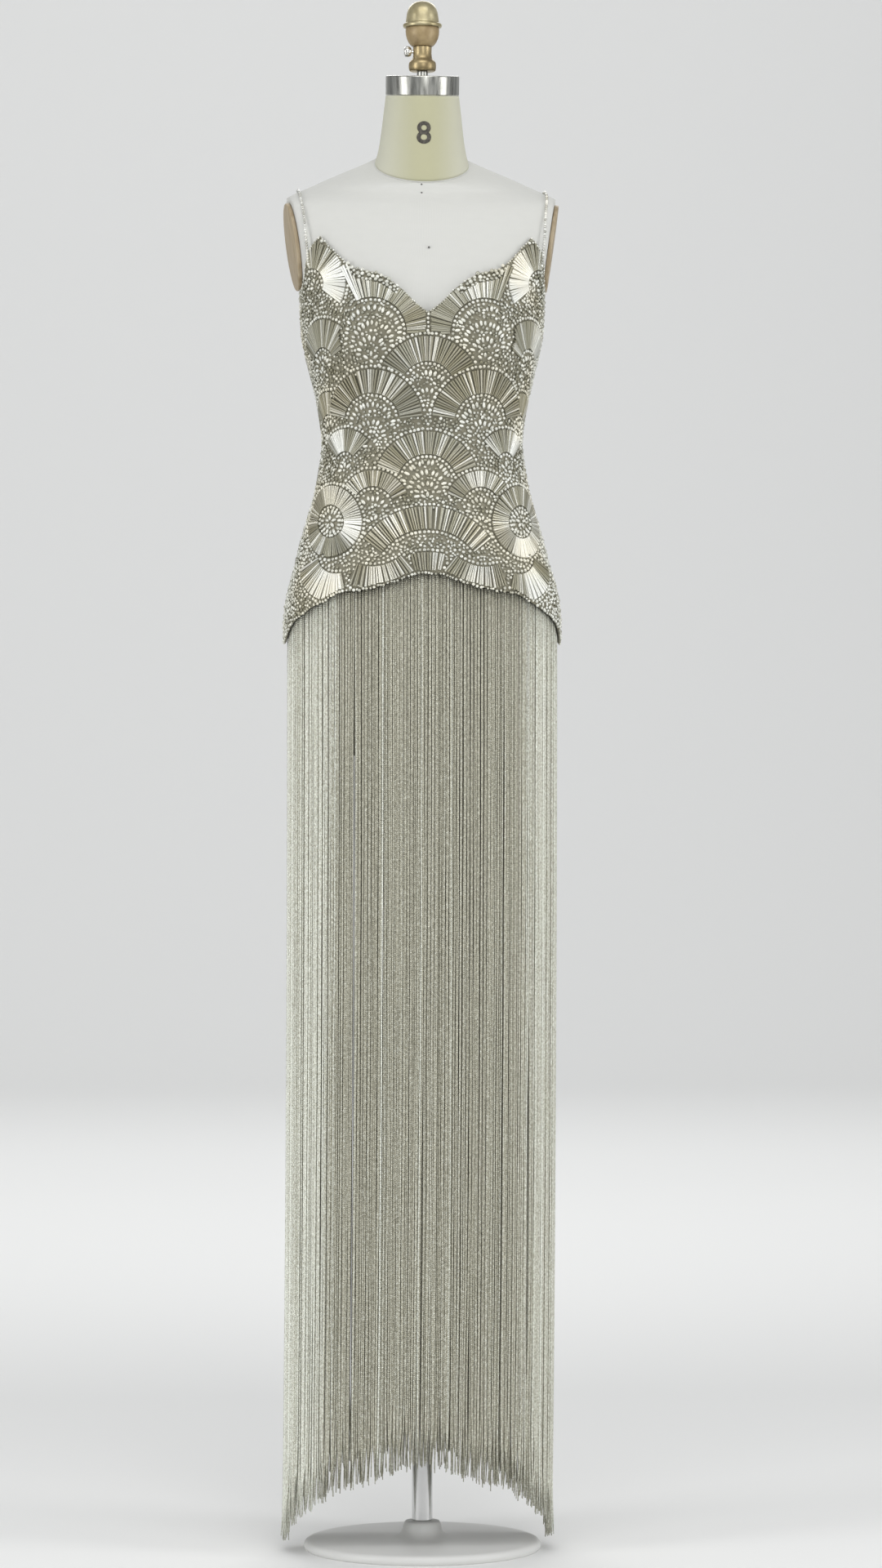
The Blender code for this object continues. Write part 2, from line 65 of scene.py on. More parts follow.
# Studio: a pale floor that curves up into a pale wall far behind, two tall soft lights at the sides, a wide
# one overhead, weak ones in front and behind, and one that washes the wall.
FLOOR_SIZE = 26.0
WALL_HEIGHT = 12.0
COVE_RADIUS = 4.0
bpy.ops.mesh.primitive_plane_add(size=FLOOR_SIZE, location=(0.0, 0.0, 0.0))
floor = bpy.context.object
floor.name = "floor"


def select_back_edge():
    """Selects the floor's back edge and goes into edit mode."""
    bpy.ops.object.mode_set(mode="EDIT")
    bpy.ops.mesh.select_mode(type="EDGE")
    bpy.ops.mesh.select_all(action="DESELECT")
    bpy.ops.object.mode_set(mode="OBJECT")
    for edge in floor.data.edges:
        ends = [floor.data.vertices[i].co for i in edge.vertices]
        edge.select = all(end.y > FLOOR_SIZE / 2 - 0.1 and end.z < 0.1 for end in ends)
    bpy.ops.object.mode_set(mode="EDIT")


select_back_edge()
bpy.ops.mesh.extrude_region_move(TRANSFORM_OT_translate={"value": (0.0, 0.0, WALL_HEIGHT)})
select_back_edge()
bpy.ops.mesh.bevel(offset=COVE_RADIUS, segments=24)
bpy.ops.object.mode_set(mode="OBJECT")
bpy.ops.object.shade_smooth()
floor_paint = bpy.data.materials.new("floor_paint")
floor_paint.use_nodes = True
paint = floor_paint.node_tree.nodes["Principled BSDF"]
paint.inputs["Base Color"].default_value = (0.86, 0.86, 0.85, 1.0)
paint.inputs["Roughness"].default_value = 0.8
floor.data.materials.append(floor_paint)

studio = bpy.data.worlds.new("studio")
bpy.context.scene.world = studio
studio.use_nodes = True
studio.node_tree.nodes["Background"].inputs["Color"].default_value = (0.86, 0.88, 0.90, 1.0)
studio.node_tree.nodes["Background"].inputs["Strength"].default_value = 0.42
bpy.context.scene.view_settings.view_transform = "Standard"
for name, place, aim, size, power in (
    ("left_light", (-2.6, -1.3, 1.5), (0.0, 0.0, 1.1), (0.9, 2.8), 34.0),
    ("right_light", (2.6, -1.3, 1.5), (0.0, 0.0, 1.1), (0.9, 2.8), 34.0),
    ("top_light", (0.0, -1.6, 3.4), (0.0, 0.0, 1.1), (2.2, 1.0), 26.0),
    ("front_light", (0.5, -5.0, 2.4), (0.0, 0.0, 1.1), (1.4, 1.0), 34.0),
    ("back_light", (0.0, 3.0, 3.4), (0.0, 0.0, 1.1), (3.0, 1.0), 42.0),
    ("wall_light", (0.0, 3.2, 5.4), (0.0, 12.0, 2.6), (8.0, 1.2), 380.0),
):
    bpy.ops.object.light_add(type="AREA", location=place)
    lamp = bpy.context.object
    lamp.name = name
    lamp.data.shape = "RECTANGLE"
    lamp.data.size = size[0]
    lamp.data.size_y = size[1]
    lamp.data.energy = power
    lamp.rotation_euler = (Vector(aim) - Vector(place)).to_track_quat("-Z", "Y").to_euler()

# Torso of the dress form: a rounded shell without limbs, tightly covered in smooth off-white linen. A level
# section is a rounded oval, the bust is two soft rounds, and the sides are cut flat where the arm plates lie.
BODY_COLUMNS = ("half_width", "front", "back", "squareness", "centre", "lean")
BODY_ROWS = (
    (970, 149.0, 92, 100, 2.3, 0, 0.00),
    (1040, 156.5, 103, 114, 2.3, 0, 0.00),
    (1110, 158.0, 107, 121, 2.3, 0, 0.00),
    (1165, 156.0, 105, 118, 2.3, 0, 0.00),
    (1195, 152.0, 102, 112, 2.3, 0, 0.00),
    (1240, 141.0, 97, 101, 2.3, 0, 0.00),
    (1285, 128.0, 91, 91, 2.2, 0, 0.00),
    (1345, 118.0, 86, 83, 2.2, 0, 0.00),
    (1390, 121.5, 88, 86, 2.2, 0, 0.00),
    (1435, 132.0, 94, 94, 2.3, 0, 0.00),
    (1475, 141.0, 100, 101, 2.4, 1, 0.00),
    (1505, 144.0, 103, 105, 2.4, 1, 0.00),
    (1538, 146.0, 100, 108, 2.4, 2, 0.00),
    (1560, 153.0, 95, 109, 2.4, 2, 0.00),
    (1590, 168.0, 86, 105, 2.45, 3, 0.00),
    (1620, 178.0, 76, 96, 2.45, 5, 0.00),
    (1640, 179.0, 68, 82, 2.4, 7, 0.02),
    (1648, 173.0, 64, 74, 2.35, 8, 0.05),
    (1655, 161.0, 61, 68, 2.3, 8, 0.10),
    (1665, 137.0, 58, 62, 2.25, 8, 0.19),
    (1675, 113.0, 57, 56, 2.2, 7, 0.28),
    (1685, 85.0, 55, 52, 2.1, 6, 0.38),
    (1693, 59.5, 53, 51, 2.0, 6, 0.52),
)
BUST_SIDE = 77.0
BUST_HEIGHT = 1484.0
BUST_RADIUS = 43.0
BUST_FULLNESS = 23.0
ARM_FLAT_START = 1537.0
ARM_FLAT_LOW = 1546.0
ARM_FLAT_X = 148.5
ARM_FLAT_RISE = 0.142
ARM_FLAT_TURN = 0.10


def smooth_row(rows, height):
    """The table's columns at a height, on smooth curves through its rows."""
    height = min(max(height, rows[0][0]), rows[-1][0])
    index = max(i for i in range(len(rows) - 1) if rows[i][0] <= height or i == 0)
    low, high = rows[index], rows[index + 1]
    before = rows[max(index - 1, 0)]
    after = rows[min(index + 2, len(rows) - 1)]
    span = high[0] - low[0]
    t = (height - low[0]) / span
    values = []
    for column in range(1, len(low)):
        slope_low = (high[column] - before[column]) / (high[0] - before[0])
        slope_high = (after[column] - low[column]) / (after[0] - low[0])
        values.append(
            (2 * t ** 3 - 3 * t ** 2 + 1) * low[column]
            + (t ** 3 - 2 * t ** 2 + t) * span * slope_low
            + (3 * t ** 2 - 2 * t ** 3) * high[column]
            + (t ** 3 - t ** 2) * span * slope_high
        )
    return dict(zip(BODY_COLUMNS, values))


def oval_point(size, height, turn, lift):
    """A point of one level section, moved out by lift. A turn of 0 is +X and a quarter turn is the front."""
    power = 2.0 / size["squareness"]
    cosine, sine = math.cos(turn), math.sin(turn)
    depth = (size["front"] if sine > 0 else size["back"]) + lift
    x = math.copysign(abs(cosine) ** power, cosine) * (size["half_width"] + lift)
    y = -math.copysign(abs(sine) ** power, sine) * depth
    return Vector((x, y + size["centre"], height + size["lean"] * y))


def body_point(height, turn, lift=0.0):
    """A point of the covered form, with the bust and the flat under the arm plate."""
    point = oval_point(smooth_row(BODY_ROWS, height), height, turn, lift)
    if math.sin(turn) > 0:
        across = (abs(point.x) - BUST_SIDE) / BUST_RADIUS
        upward = (point.z - BUST_HEIGHT) / BUST_RADIUS
        point.y -= BUST_FULLNESS * math.sin(turn) * math.exp(-0.5 * (across ** 2 + upward ** 2))
    if height > ARM_FLAT_START:
        flat = ARM_FLAT_X + ARM_FLAT_RISE * (point.z - ARM_FLAT_LOW) + ARM_FLAT_TURN * point.y + lift
        point.x = math.copysign(min(abs(point.x), flat), point.x)
    return point


def wrap_sheet(name, across, upward, place, closed):
    """A flat grid bent onto a surface: place gives the point, in millimetres, for shares across and up.
    Its UV map is in metres, so that a weave keeps its size."""
    bpy.ops.mesh.primitive_grid_add(x_subdivisions=across, y_subdivisions=upward, size=1.0)
    sheet = bpy.context.object
    sheet.name = name
    mesh = sheet.data
    lengths = 24
    shares = [(v.co.x + 0.5, v.co.y + 0.5) for v in mesh.vertices]
    for vertex, (u, v) in zip(mesh.vertices, shares):
        vertex.co = place(u, v) * 0.001
    wide = 0.001 * sum(
        (place((i + 1) / lengths, 0.4) - place(i / lengths, 0.4)).length for i in range(lengths)
    )
    tall = 0.001 * sum(
        (place(0.4, (i + 1) / lengths) - place(0.4, i / lengths)).length for i in range(lengths)
    )
    for loop, corner in zip(mesh.loops, mesh.uv_layers[0].data):
        u, v = shares[loop.vertex_index]
        corner.uv = (u * wide, v * tall)
    bpy.ops.object.mode_set(mode="EDIT")
    bpy.ops.mesh.select_all(action="SELECT")
    if closed:
        bpy.ops.mesh.remove_doubles(threshold=0.00001)
        bpy.ops.mesh.select_mode(type="EDGE")
        bpy.ops.mesh.select_all(action="DESELECT")
        bpy.ops.mesh.select_non_manifold()
        bpy.ops.mesh.edge_face_add()
        bpy.ops.mesh.select_all(action="SELECT")
        bpy.ops.mesh.normals_make_consistent(inside=False)
    bpy.ops.object.mode_set(mode="OBJECT")
    bpy.ops.object.shade_smooth()
    return sheet


def new_finish(name, colour, roughness, metallic=0.0):
    """A material with its colour, roughness and metal on the shader's own sockets."""
    material = bpy.data.materials.new(name)
    material.use_nodes = True
    nodes = material.node_tree.nodes
    shader = nodes["Principled BSDF"]
    shader.inputs["Base Color"].default_value = (*colour, 1.0)
    shader.inputs["Roughness"].default_value = roughness
    shader.inputs["Metallic"].default_value = metallic
    return material, nodes, material.node_tree.links, shader


def new_node(nodes, kind, sockets=None, **settings):
    """A shader node with its settings and the values of its sockets."""
    node = nodes.new("ShaderNode" + kind)
    for key, value in settings.items():
        setattr(node, key, value)
    for key, value in (sockets or {}).items():
        node.inputs[key].default_value = value
    return node


def wire_up(links, *path):
    """Wires a row of nodes, given as node, output, input, node, output, input, node and so on."""
    for i in range(0, len(path) - 1, 3):
        links.new(path[i].outputs[path[i + 1]], path[i + 3].inputs[path[i + 2]])


# Plain weave as a shared effect: two crossed sets of threads on the UV map, in metres, with uneven yarn.
weave = bpy.data.node_groups.new("plain_weave", "ShaderNodeTree")
for way, socket, kind in (
    ("INPUT", "Threads", "Float"), ("INPUT", "Colour", "Color"), ("INPUT", "Shade", "Color"),
    ("OUTPUT", "Colour", "Color"), ("OUTPUT", "Height", "Float"),
):
    weave.interface.new_socket(socket, in_out=way, socket_type="NodeSocket" + kind)
given = weave.nodes.new("NodeGroupInput")
result = weave.nodes.new("NodeGroupOutput")
map_point = new_node(weave.nodes, "UVMap")
crossing = new_node(weave.nodes, "Math", operation="MULTIPLY")
for index, direction in enumerate("XY"):
    threads = new_node(weave.nodes, "TexWave", {"Distortion": 0.6, "Detail": 1.0}, bands_direction=direction)
    wire_up(weave.links, map_point, "UV", "Vector", threads, "Fac", index, crossing)
    wire_up(weave.links, given, "Threads", "Scale", threads)
yarn = new_node(weave.nodes, "TexNoise", {"Scale": 90.0, "Detail": 4.0})
slub = new_node(weave.nodes, "Math", {1: 0.6}, operation="MULTIPLY_ADD")
blend = new_node(weave.nodes, "Mix", data_type="RGBA")
wire_up(
    weave.links, map_point, "UV", "Vector", yarn, "Fac", 0, slub, 0, "Factor", blend,
    "Result", "Colour", result,
)
wire_up(weave.links, crossing, 0, 2, slub, 0, "Height", result)
wire_up(weave.links, given, "Shade", "A", blend)
wire_up(weave.links, given, "Colour", "B", blend)


def weave_into(nodes, links, shader, threads, colour, shade, depth):
    """Puts the weave's colour and a fine bump into a cloth's material."""
    sockets = {"Threads": threads, "Colour": (*colour, 1.0), "Shade": (*shade, 1.0)}
    cloth = new_node(nodes, "Group", sockets, node_tree=weave)
    bump = new_node(nodes, "Bump", {"Strength": 0.35, "Distance": depth})
    wire_up(links, cloth, "Colour", "Base Color", shader)
    wire_up(links, cloth, "Height", "Height", bump, "Normal", "Normal", shader)
    return cloth


FORM_BOTTOM = 970.0
FORM_TOP = 1693.0
ROW_CROWDING = 1.25
PIN_DENT = (-3.0, 1583.0)
PIN_DENT_DEPTH = 1.6
PIN_DENT_WIDTH = 9.0
PIN_DENT_ABOVE = 30.0
PIN_DENT_BELOW = 12.0


def torso_place(u, v):
    """A point of the torso's cover, with the shallow dent that the chest pin pulls in."""
    height = FORM_BOTTOM + (FORM_TOP - FORM_BOTTOM) * (1.0 - (1.0 - v) ** ROW_CROWDING)
    turn = 2.0 * math.pi * u - 0.5 * math.pi
    point = body_point(height, turn)
    if math.sin(turn) > 0:
        across, above = point.x - PIN_DENT[0], point.z - PIN_DENT[1]
        reach = PIN_DENT_ABOVE if above > 0 else PIN_DENT_BELOW
        point.y += PIN_DENT_DEPTH * math.exp(-(across / PIN_DENT_WIDTH) ** 2 - (above / reach) ** 2)
    return point


torso = wrap_sheet("form_cover", 120, 110, torso_place, closed=True)
cover, nodes, links, shader = new_finish("form_cover", (0.62, 0.62, 0.59), 0.9)
shader.inputs["Specular IOR Level"].default_value = 0.2
weave_into(nodes, links, shader, 420.0, (0.64, 0.64, 0.61), (0.59, 0.59, 0.56), 0.0001)
torso.data.materials.append(cover)
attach(torso, "dressed_form")
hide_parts("form_torso")

# Neck of the form: a short leaning stump with a flat top, covered in cream linen. The cover is drawn up from
# the dipping seam where it is sewn to the torso's, and its edge lies under the neck cap.
NECK_ROWS = (
    (1693, 58.0, 52, 50, 2.0, 6, 0.52),
    (1705, 54.5, 50, 49, 2.0, 4, 0.43),
    (1725, 51.0, 48, 48, 2.0, 2, 0.30),
    (1750, 48.0, 46, 46, 2.0, -1, 0.20),
    (1777, 44.8, 44.8, 44.8, 2.0, -3, 0.14),
)
SEAT_GAP = 0.3


def neck_place(u, v):
    """A point of the neck's cover, which stands a seam's gap above the torso."""
    height = FORM_TOP + (NECK_ROWS[-1][0] - FORM_TOP) * v
    point = oval_point(smooth_row(NECK_ROWS, height), height, 2.0 * math.pi * u - 0.5 * math.pi, 0.0)
    return point + Vector((0.0, 0.0, SEAT_GAP))


neck = wrap_sheet("neck_cover", 72, 26, neck_place, closed=True)
cream, nodes, links, shader = new_finish("neck_cover", (0.47, 0.46, 0.31), 0.9)
shader.inputs["Specular IOR Level"].default_value = 0.2
neck_weave = weave_into(nodes, links, shader, 420.0, (0.48, 0.47, 0.315), (0.44, 0.43, 0.29), 0.0001)
# The cream turns to a paler grey towards both sides of the neck.
side_place = new_node(nodes, "TexCoord")
side_split = new_node(nodes, "SeparateXYZ")
side_distance = new_node(nodes, "Math", operation="ABSOLUTE")
fade = new_node(
    nodes, "MapRange", {"From Min": 0.006, "From Max": 0.056, "To Max": 0.6}, interpolation_type="SMOOTHSTEP"
)
paler_sides = new_node(nodes, "Mix", {"B": (0.62, 0.62, 0.56, 1.0)}, data_type="RGBA")
wire_up(
    links, side_place, "Object", "Vector", side_split, "X", 0, side_distance, 0, "Value", fade,
    "Result", "Factor", paler_sides, "Result", "Base Color", shader,
)
wire_up(links, neck_weave, "Colour", "A", paler_sides)
neck.data.materials.append(cream)
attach(neck, "dressed_form")
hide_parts("form_neck")

# Piping of the neck seam: a thin rolled edge of the torso's linen, which hides the stitches where the two
# covers meet. It follows the seam's dip all round.
PIPING_RADIUS = 0.7
PIPING_HEIGHT = 1693.5
TUBE_RADIUS = 0.1
bpy.ops.mesh.primitive_torus_add(
    major_segments=96, minor_segments=8, major_radius=1.0, minor_radius=TUBE_RADIUS
)
seam = bpy.context.object
seam.name = "neck_seam"
for vertex in seam.data.vertices:
    ring = Vector((vertex.co.x, vertex.co.y, 0.0)).normalized()
    turn = math.atan2(-ring.y, ring.x)
    middle = oval_point(smooth_row(NECK_ROWS, PIPING_HEIGHT), PIPING_HEIGHT, turn, 0.0)
    out = (vertex.co - ring).dot(ring) / TUBE_RADIUS
    middle += Vector((ring.x, ring.y, 0.0)) * out * PIPING_RADIUS
    middle.z += vertex.co.z / TUBE_RADIUS * PIPING_RADIUS
    vertex.co = middle * 0.001
bpy.ops.object.shade_smooth()
seam.data.materials.append(cover)
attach(seam, "dressed_form")

# Size mark on the neck: a plain 8, stencilled on the linen in dark grey ink. The film of ink follows the
# cover's round and has worn unevenly.
MARK_LEFT_OF_MIDDLE = 1.0
MARK_LOW = 1712.6
INK_LIFT = 0.35
bpy.ops.object.text_add(location=(0.0, 0.0, 0.0))
mark = bpy.context.object
mark.data.body = "8"
mark.data.size = 0.0375
mark.data.offset = 0.0006
mark.data.align_x = "CENTER"
mark.data.resolution_u = 6
bpy.ops.object.convert(target="MESH")
mark = bpy.context.object
mark.name = "size_mark"
bpy.ops.object.mode_set(mode="EDIT")
bpy.ops.mesh.select_all(action="SELECT")
bpy.ops.mesh.remove_doubles(threshold=0.00001)
bpy.ops.mesh.quads_convert_to_tris()
bpy.ops.mesh.subdivide(number_cuts=2)
bpy.ops.object.mode_set(mode="OBJECT")
mark_base = min(v.co.y for v in mark.data.vertices)
mark_middle = 0.5 * (min(v.co.x for v in mark.data.vertices) + max(v.co.x for v in mark.data.vertices))
for vertex in mark.data.vertices:
    height = MARK_LOW + (vertex.co.y - mark_base) * 1000.0
    x = (vertex.co.x - mark_middle) * 1000.0 - MARK_LEFT_OF_MIDDLE
    level = height
    for _ in range(6):
        size = smooth_row(NECK_ROWS, level)
        depth = size["front"] * math.sqrt(max(1.0 - (x / size["half_width"]) ** 2, 0.0))
        level = height + size["lean"] * depth
    vertex.co = Vector((x, size["centre"] - depth - INK_LIFT, height + SEAT_GAP)) * 0.001
if mark.data.polygons[0].normal.y > 0:
    mark.data.flip_normals()


def thicken(sheet, name, thickness, offset):
    """Gives a sheet its thickness: inwards for an offset of -1, outwards for 1."""
    wall = sheet.modifiers.new(name, "SOLIDIFY")
    wall.thickness = thickness
    wall.offset = offset
    bpy.ops.object.modifier_apply(modifier=wall.name)


def shade_ramp(nodes, *stops):
    """A colour ramp from its stops, each a place and a colour."""
    ramp = new_node(nodes, "ValToRGB")
    row = ramp.color_ramp.elements
    row[0].position, row[0].color = stops[0][0], (*stops[0][1], 1.0)
    row[1].position, row[1].color = stops[-1][0], (*stops[-1][1], 1.0)
    for place, colour in stops[1:-1]:
        row.new(place).color = (*colour, 1.0)
    return ramp


def uneven_finish(name, colour, roughness, metallic, scale, detail=2.0, stretch=None, shades=None,
                  roughs=None, bump=None):
    """A finish that a noise varies: the stops of its shades, the range of its roughness, and a bump's
    strength and depth, each where it is given."""
    material, nodes, links, shader = new_finish(name, colour, roughness, metallic)
    place = new_node(nodes, "TexCoord")
    noise = new_node(nodes, "TexNoise", {"Scale": scale, "Detail": detail})
    if stretch:
        drawn_out = new_node(nodes, "Mapping", {"Scale": stretch})
        wire_up(links, place, "Object", "Vector", drawn_out, "Vector", "Vector", noise)
    else:
        wire_up(links, place, "Object", "Vector", noise)
    if shades:
        wire_up(links, noise, "Fac", "Fac", shade_ramp(nodes, *shades), "Color", "Base Color", shader)
    if roughs:
        spread = new_node(nodes, "MapRange", {"To Min": roughs[0], "To Max": roughs[1]})
        wire_up(links, noise, "Fac", "Value", spread, "Result", "Roughness", shader)
    if bump:
        relief = new_node(nodes, "Bump", {"Strength": bump[0], "Distance": bump[1]})
        wire_up(links, noise, "Fac", "Height", relief, "Normal", "Normal", shader)
    return material


thicken(mark, "ink_film", 0.0002, -1.0)
ink = uneven_finish(
    "stencil_ink", (0.055, 0.05, 0.042), 0.7, 0.0, 420.0, 3.0,
    shades=((0.35, (0.04, 0.036, 0.03)), (0.75, (0.12, 0.11, 0.09))),
)
mark.data.materials.append(ink)
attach(mark, "dressed_form")

# Pins: two under the neck seam's lowest point and one in the middle of the chest. They are steel dressmaker's
# pins, pushed into the form up to their small round heads.
pin_steel = new_finish("pin_steel", (0.16, 0.16, 0.15), 0.4, 0.8)[0]
pins = []
for x, height, radius in ((-4.0, 1683.0, 1.1), (-4.0, 1663.0, 1.1), (-3.0, 1583.0, 1.3)):
    size = smooth_row(BODY_ROWS, height)
    turn = math.acos(x / size["half_width"])
    for _ in range(8):
        spot = body_point(height, turn)
        turn += (spot.x - x) / size["half_width"]
    bpy.ops.mesh.primitive_uv_sphere_add(
        segments=12, ring_count=6, radius=radius * 0.001, location=spot * 0.001,
    )
    pins.append(bpy.context.object)
bpy.ops.object.select_all(action="DESELECT")
for pin in pins:
    pin.select_set(True)
bpy.context.view_layer.objects.active = pins[0]
bpy.ops.object.join()
pin_heads = bpy.context.object
pin_heads.name = "pin_heads"
bpy.ops.object.transform_apply(location=True, rotation=True, scale=True)
bpy.ops.object.shade_smooth()
pin_heads.data.materials.append(pin_steel)
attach(pin_heads, "dressed_form")

# Arm plates: tan oval boards with a rounded edge and a faint grain. Each closes an arm hole, and lies on the
# flat of the torso's side, which leans outwards up to the shoulder.
PLATE_CENTRE = (5.0, 1592.0)
PLATE_HALF_DEPTH = 41.0
PLATE_HALF_HEIGHT = 54.0
PLATE_THICKNESS = 5.0
board = uneven_finish(
    "arm_plate_board", (0.40, 0.33, 0.22), 0.5, 0.0, 3.0, 6.0, stretch=(60.0, 60.0, 9.0),
    shades=((0.3, (0.29, 0.22, 0.13)), (0.75, (0.45, 0.37, 0.25))), bump=(0.15, 0.0004),
)


def face_outwards():
    """Turns the faces of the piece at hand outwards."""
    bpy.ops.object.mode_set(mode="EDIT")
    bpy.ops.mesh.select_all(action="SELECT")
    bpy.ops.mesh.normals_make_consistent(inside=False)
    bpy.ops.object.mode_set(mode="OBJECT")


for name, side in (("arm_plate_left", 1), ("arm_plate_right", -1)):
    y, z = PLATE_CENTRE
    x = ARM_FLAT_X + ARM_FLAT_RISE * (z - ARM_FLAT_LOW) + ARM_FLAT_TURN * y
    out = Vector((1.0, -ARM_FLAT_TURN, -ARM_FLAT_RISE)).normalized()
    along = Vector((ARM_FLAT_TURN, 1.0, 0.0)).normalized()
    up = out.cross(along).normalized()
    middle = Vector((x, y, z)) + out * (SEAT_GAP + PLATE_THICKNESS / 2)
    bpy.ops.mesh.primitive_cylinder_add(vertices=72, radius=1.0, depth=1.0)
    plate = bpy.context.object
    plate.name = name + "_board"
    axes = Matrix((along * PLATE_HALF_DEPTH, up * PLATE_HALF_HEIGHT, out * PLATE_THICKNESS)).transposed()
    for vertex in plate.data.vertices:
        vertex.co = (axes @ vertex.co + middle) * 0.001
        vertex.co.x *= side
    face_outwards()
    rim = plate.modifiers.new("rim", "BEVEL")
    rim.width = 0.0014
    rim.segments = 3
    rim.limit_method = "ANGLE"
    bpy.ops.object.modifier_apply(modifier=rim.name)
    bpy.ops.object.shade_smooth_by_angle(angle=math.radians(35.0))
    plate.data.materials.append(board)
    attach(plate, "dressed_form")
    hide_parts(name)

# Neck cap: a spun steel lid with a brushed side, pressed over the neck's top. It is drilled in the middle for
# the steel rod that the knob stands on.
CAP_RADIUS = 45.0
_, _, _, _, _, KNOB_Y, CAP_LEAN = NECK_ROWS[-1]
brushed = uneven_finish(
    "neck_cap_steel", (0.62, 0.62, 0.61), 0.28, 1.0, 1.0, 5.0, stretch=(260.0, 260.0, 6.0),
    shades=((0.3, (0.22, 0.22, 0.20)), (0.7, (0.56, 0.56, 0.52))), roughs=(0.18, 0.42), bump=(0.2, 0.0002),
)


def turn_on_lathe(name, profile, steps, axis_place, tilt=None):
    """A turned piece from its profile, (radius, height) in millimetres from the top down its outer side."""
    bpy.ops.mesh.primitive_plane_add(size=1.0)
    piece = bpy.context.object
    piece.name = name
    mesh = bpy.data.meshes.new(name)
    mesh.from_pydata(
        [(radius * 0.001, 0.0, height * 0.001) for radius, height in profile],
        [(i, i + 1) for i in range(len(profile) - 1)],
        [],
    )
    piece.data = mesh
    bpy.ops.object.mode_set(mode="EDIT")
    bpy.ops.mesh.select_all(action="SELECT")
    bpy.ops.mesh.spin(steps=steps, angle=2.0 * math.pi, center=(0, 0, 0), axis=(0, 0, 1))
    bpy.ops.mesh.select_all(action="SELECT")
    bpy.ops.mesh.remove_doubles(threshold=0.00001)
    bpy.ops.mesh.normals_make_consistent(inside=False)
    bpy.ops.object.mode_set(mode="OBJECT")
    place = Matrix.Translation(Vector(axis_place) * 0.001)
    if tilt is not None:
        place = place @ tilt.to_4x4()
    piece.data.transform(place)
    bpy.ops.object.shade_smooth_by_angle(angle=math.radians(35.0))
    return piece


cap_up = Vector((0.0, -CAP_LEAN, 1.0)).normalized()
cap_tilt = cap_up.to_track_quat("Z", "Y").to_matrix()
cap = turn_on_lathe(
    "neck_cap_lid",
    (
        (7.0, 24.0), (CAP_RADIUS - 1.6, 24.0), (CAP_RADIUS - 0.6, 23.6), (CAP_RADIUS - 0.1, 22.8),
        (CAP_RADIUS, 22.0), (CAP_RADIUS, 1.0), (CAP_RADIUS - 0.8, 0.0), (7.0, 0.0), (7.0, 24.0),
    ),
    96, (0.0, KNOB_Y, NECK_ROWS[-1][0] + 2 * SEAT_GAP), cap_tilt,
)
cap.data.materials.append(brushed)
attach(cap, "dressed_form")
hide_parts("neck_cap")

rod = turn_on_lathe(
    "knob_rod_pin", ((0.0, 27.7), (6.2, 27.7), (6.7, 27.2), (6.7, 0.4), (6.2, 0.0), (0.0, 0.0)),
    40, (0.0, KNOB_Y, 1779.0),
)
rod.data.materials.append(brushed)
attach(rod, "dressed_form")
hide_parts("knob_rod")

# Knob: a brass clamp collar, a varnished bulb and a pale brass dome, all turned on a lathe and stacked on the
# rod. Each is tarnished between a dark and a light shade, and is duller where it is dark.
for name, node, slot, dark, light, roughness, metallic, profile in (
    ("knob_collar", "knob_stem", "knob_brass", (0.24, 0.18, 0.09), (0.44, 0.35, 0.19), 0.36, 0.7, (
        (0.0, 1837.0), (10.9, 1837.0), (11.5, 1836.4), (11.3, 1833.0), (11.2, 1829.0), (11.5, 1825.0),
        (12.3, 1822.4), (13.8, 1820.6), (15.6, 1819.0), (16.5, 1817.0), (16.8, 1814.5), (16.7, 1811.0),
        (16.2, 1808.6), (15.2, 1807.2), (14.6, 1807.0), (0.0, 1807.0))),
    ("knob_bulb_turned", "knob_bulb", "knob_bulb_wood", (0.24, 0.17, 0.08), (0.36, 0.27, 0.14), 0.42, 0.1, (
        (0.0, 1860.3), (20.0, 1860.3), (20.5, 1859.2), (20.6, 1856.0), (20.2, 1851.5), (19.1, 1847.0),
        (17.2, 1842.8), (15.2, 1839.9), (13.4, 1838.2), (12.4, 1837.6), (0.0, 1837.3))),
    ("knob_dome_turned", "knob_dome", "knob_dome_brass", (0.34, 0.29, 0.16), (0.54, 0.48, 0.30), 0.34, 0.65, (
        (0.0, 1893.0), (4.5, 1892.7), (8.6, 1891.6), (12.2, 1889.7), (15.2, 1886.9), (17.4, 1883.2),
        (18.8, 1878.8), (19.6, 1873.5), (20.2, 1868.6), (20.7, 1866.2), (21.8, 1865.2), (23.2, 1864.8),
        (23.7, 1864.0), (23.8, 1862.6), (23.4, 1861.2), (22.6, 1860.6), (0.0, 1860.6))),
):
    piece = turn_on_lathe(name, profile, 72, (0.0, KNOB_Y, 0.0))
    metal = uneven_finish(
        slot, light, roughness, metallic, 70.0, 5.0, shades=((0.32, dark), (0.62, light)),
        roughs=(roughness + 0.12, roughness - 0.08),
    )
    piece.data.materials.append(metal)
    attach(piece, "dressed_form")
    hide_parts(node)

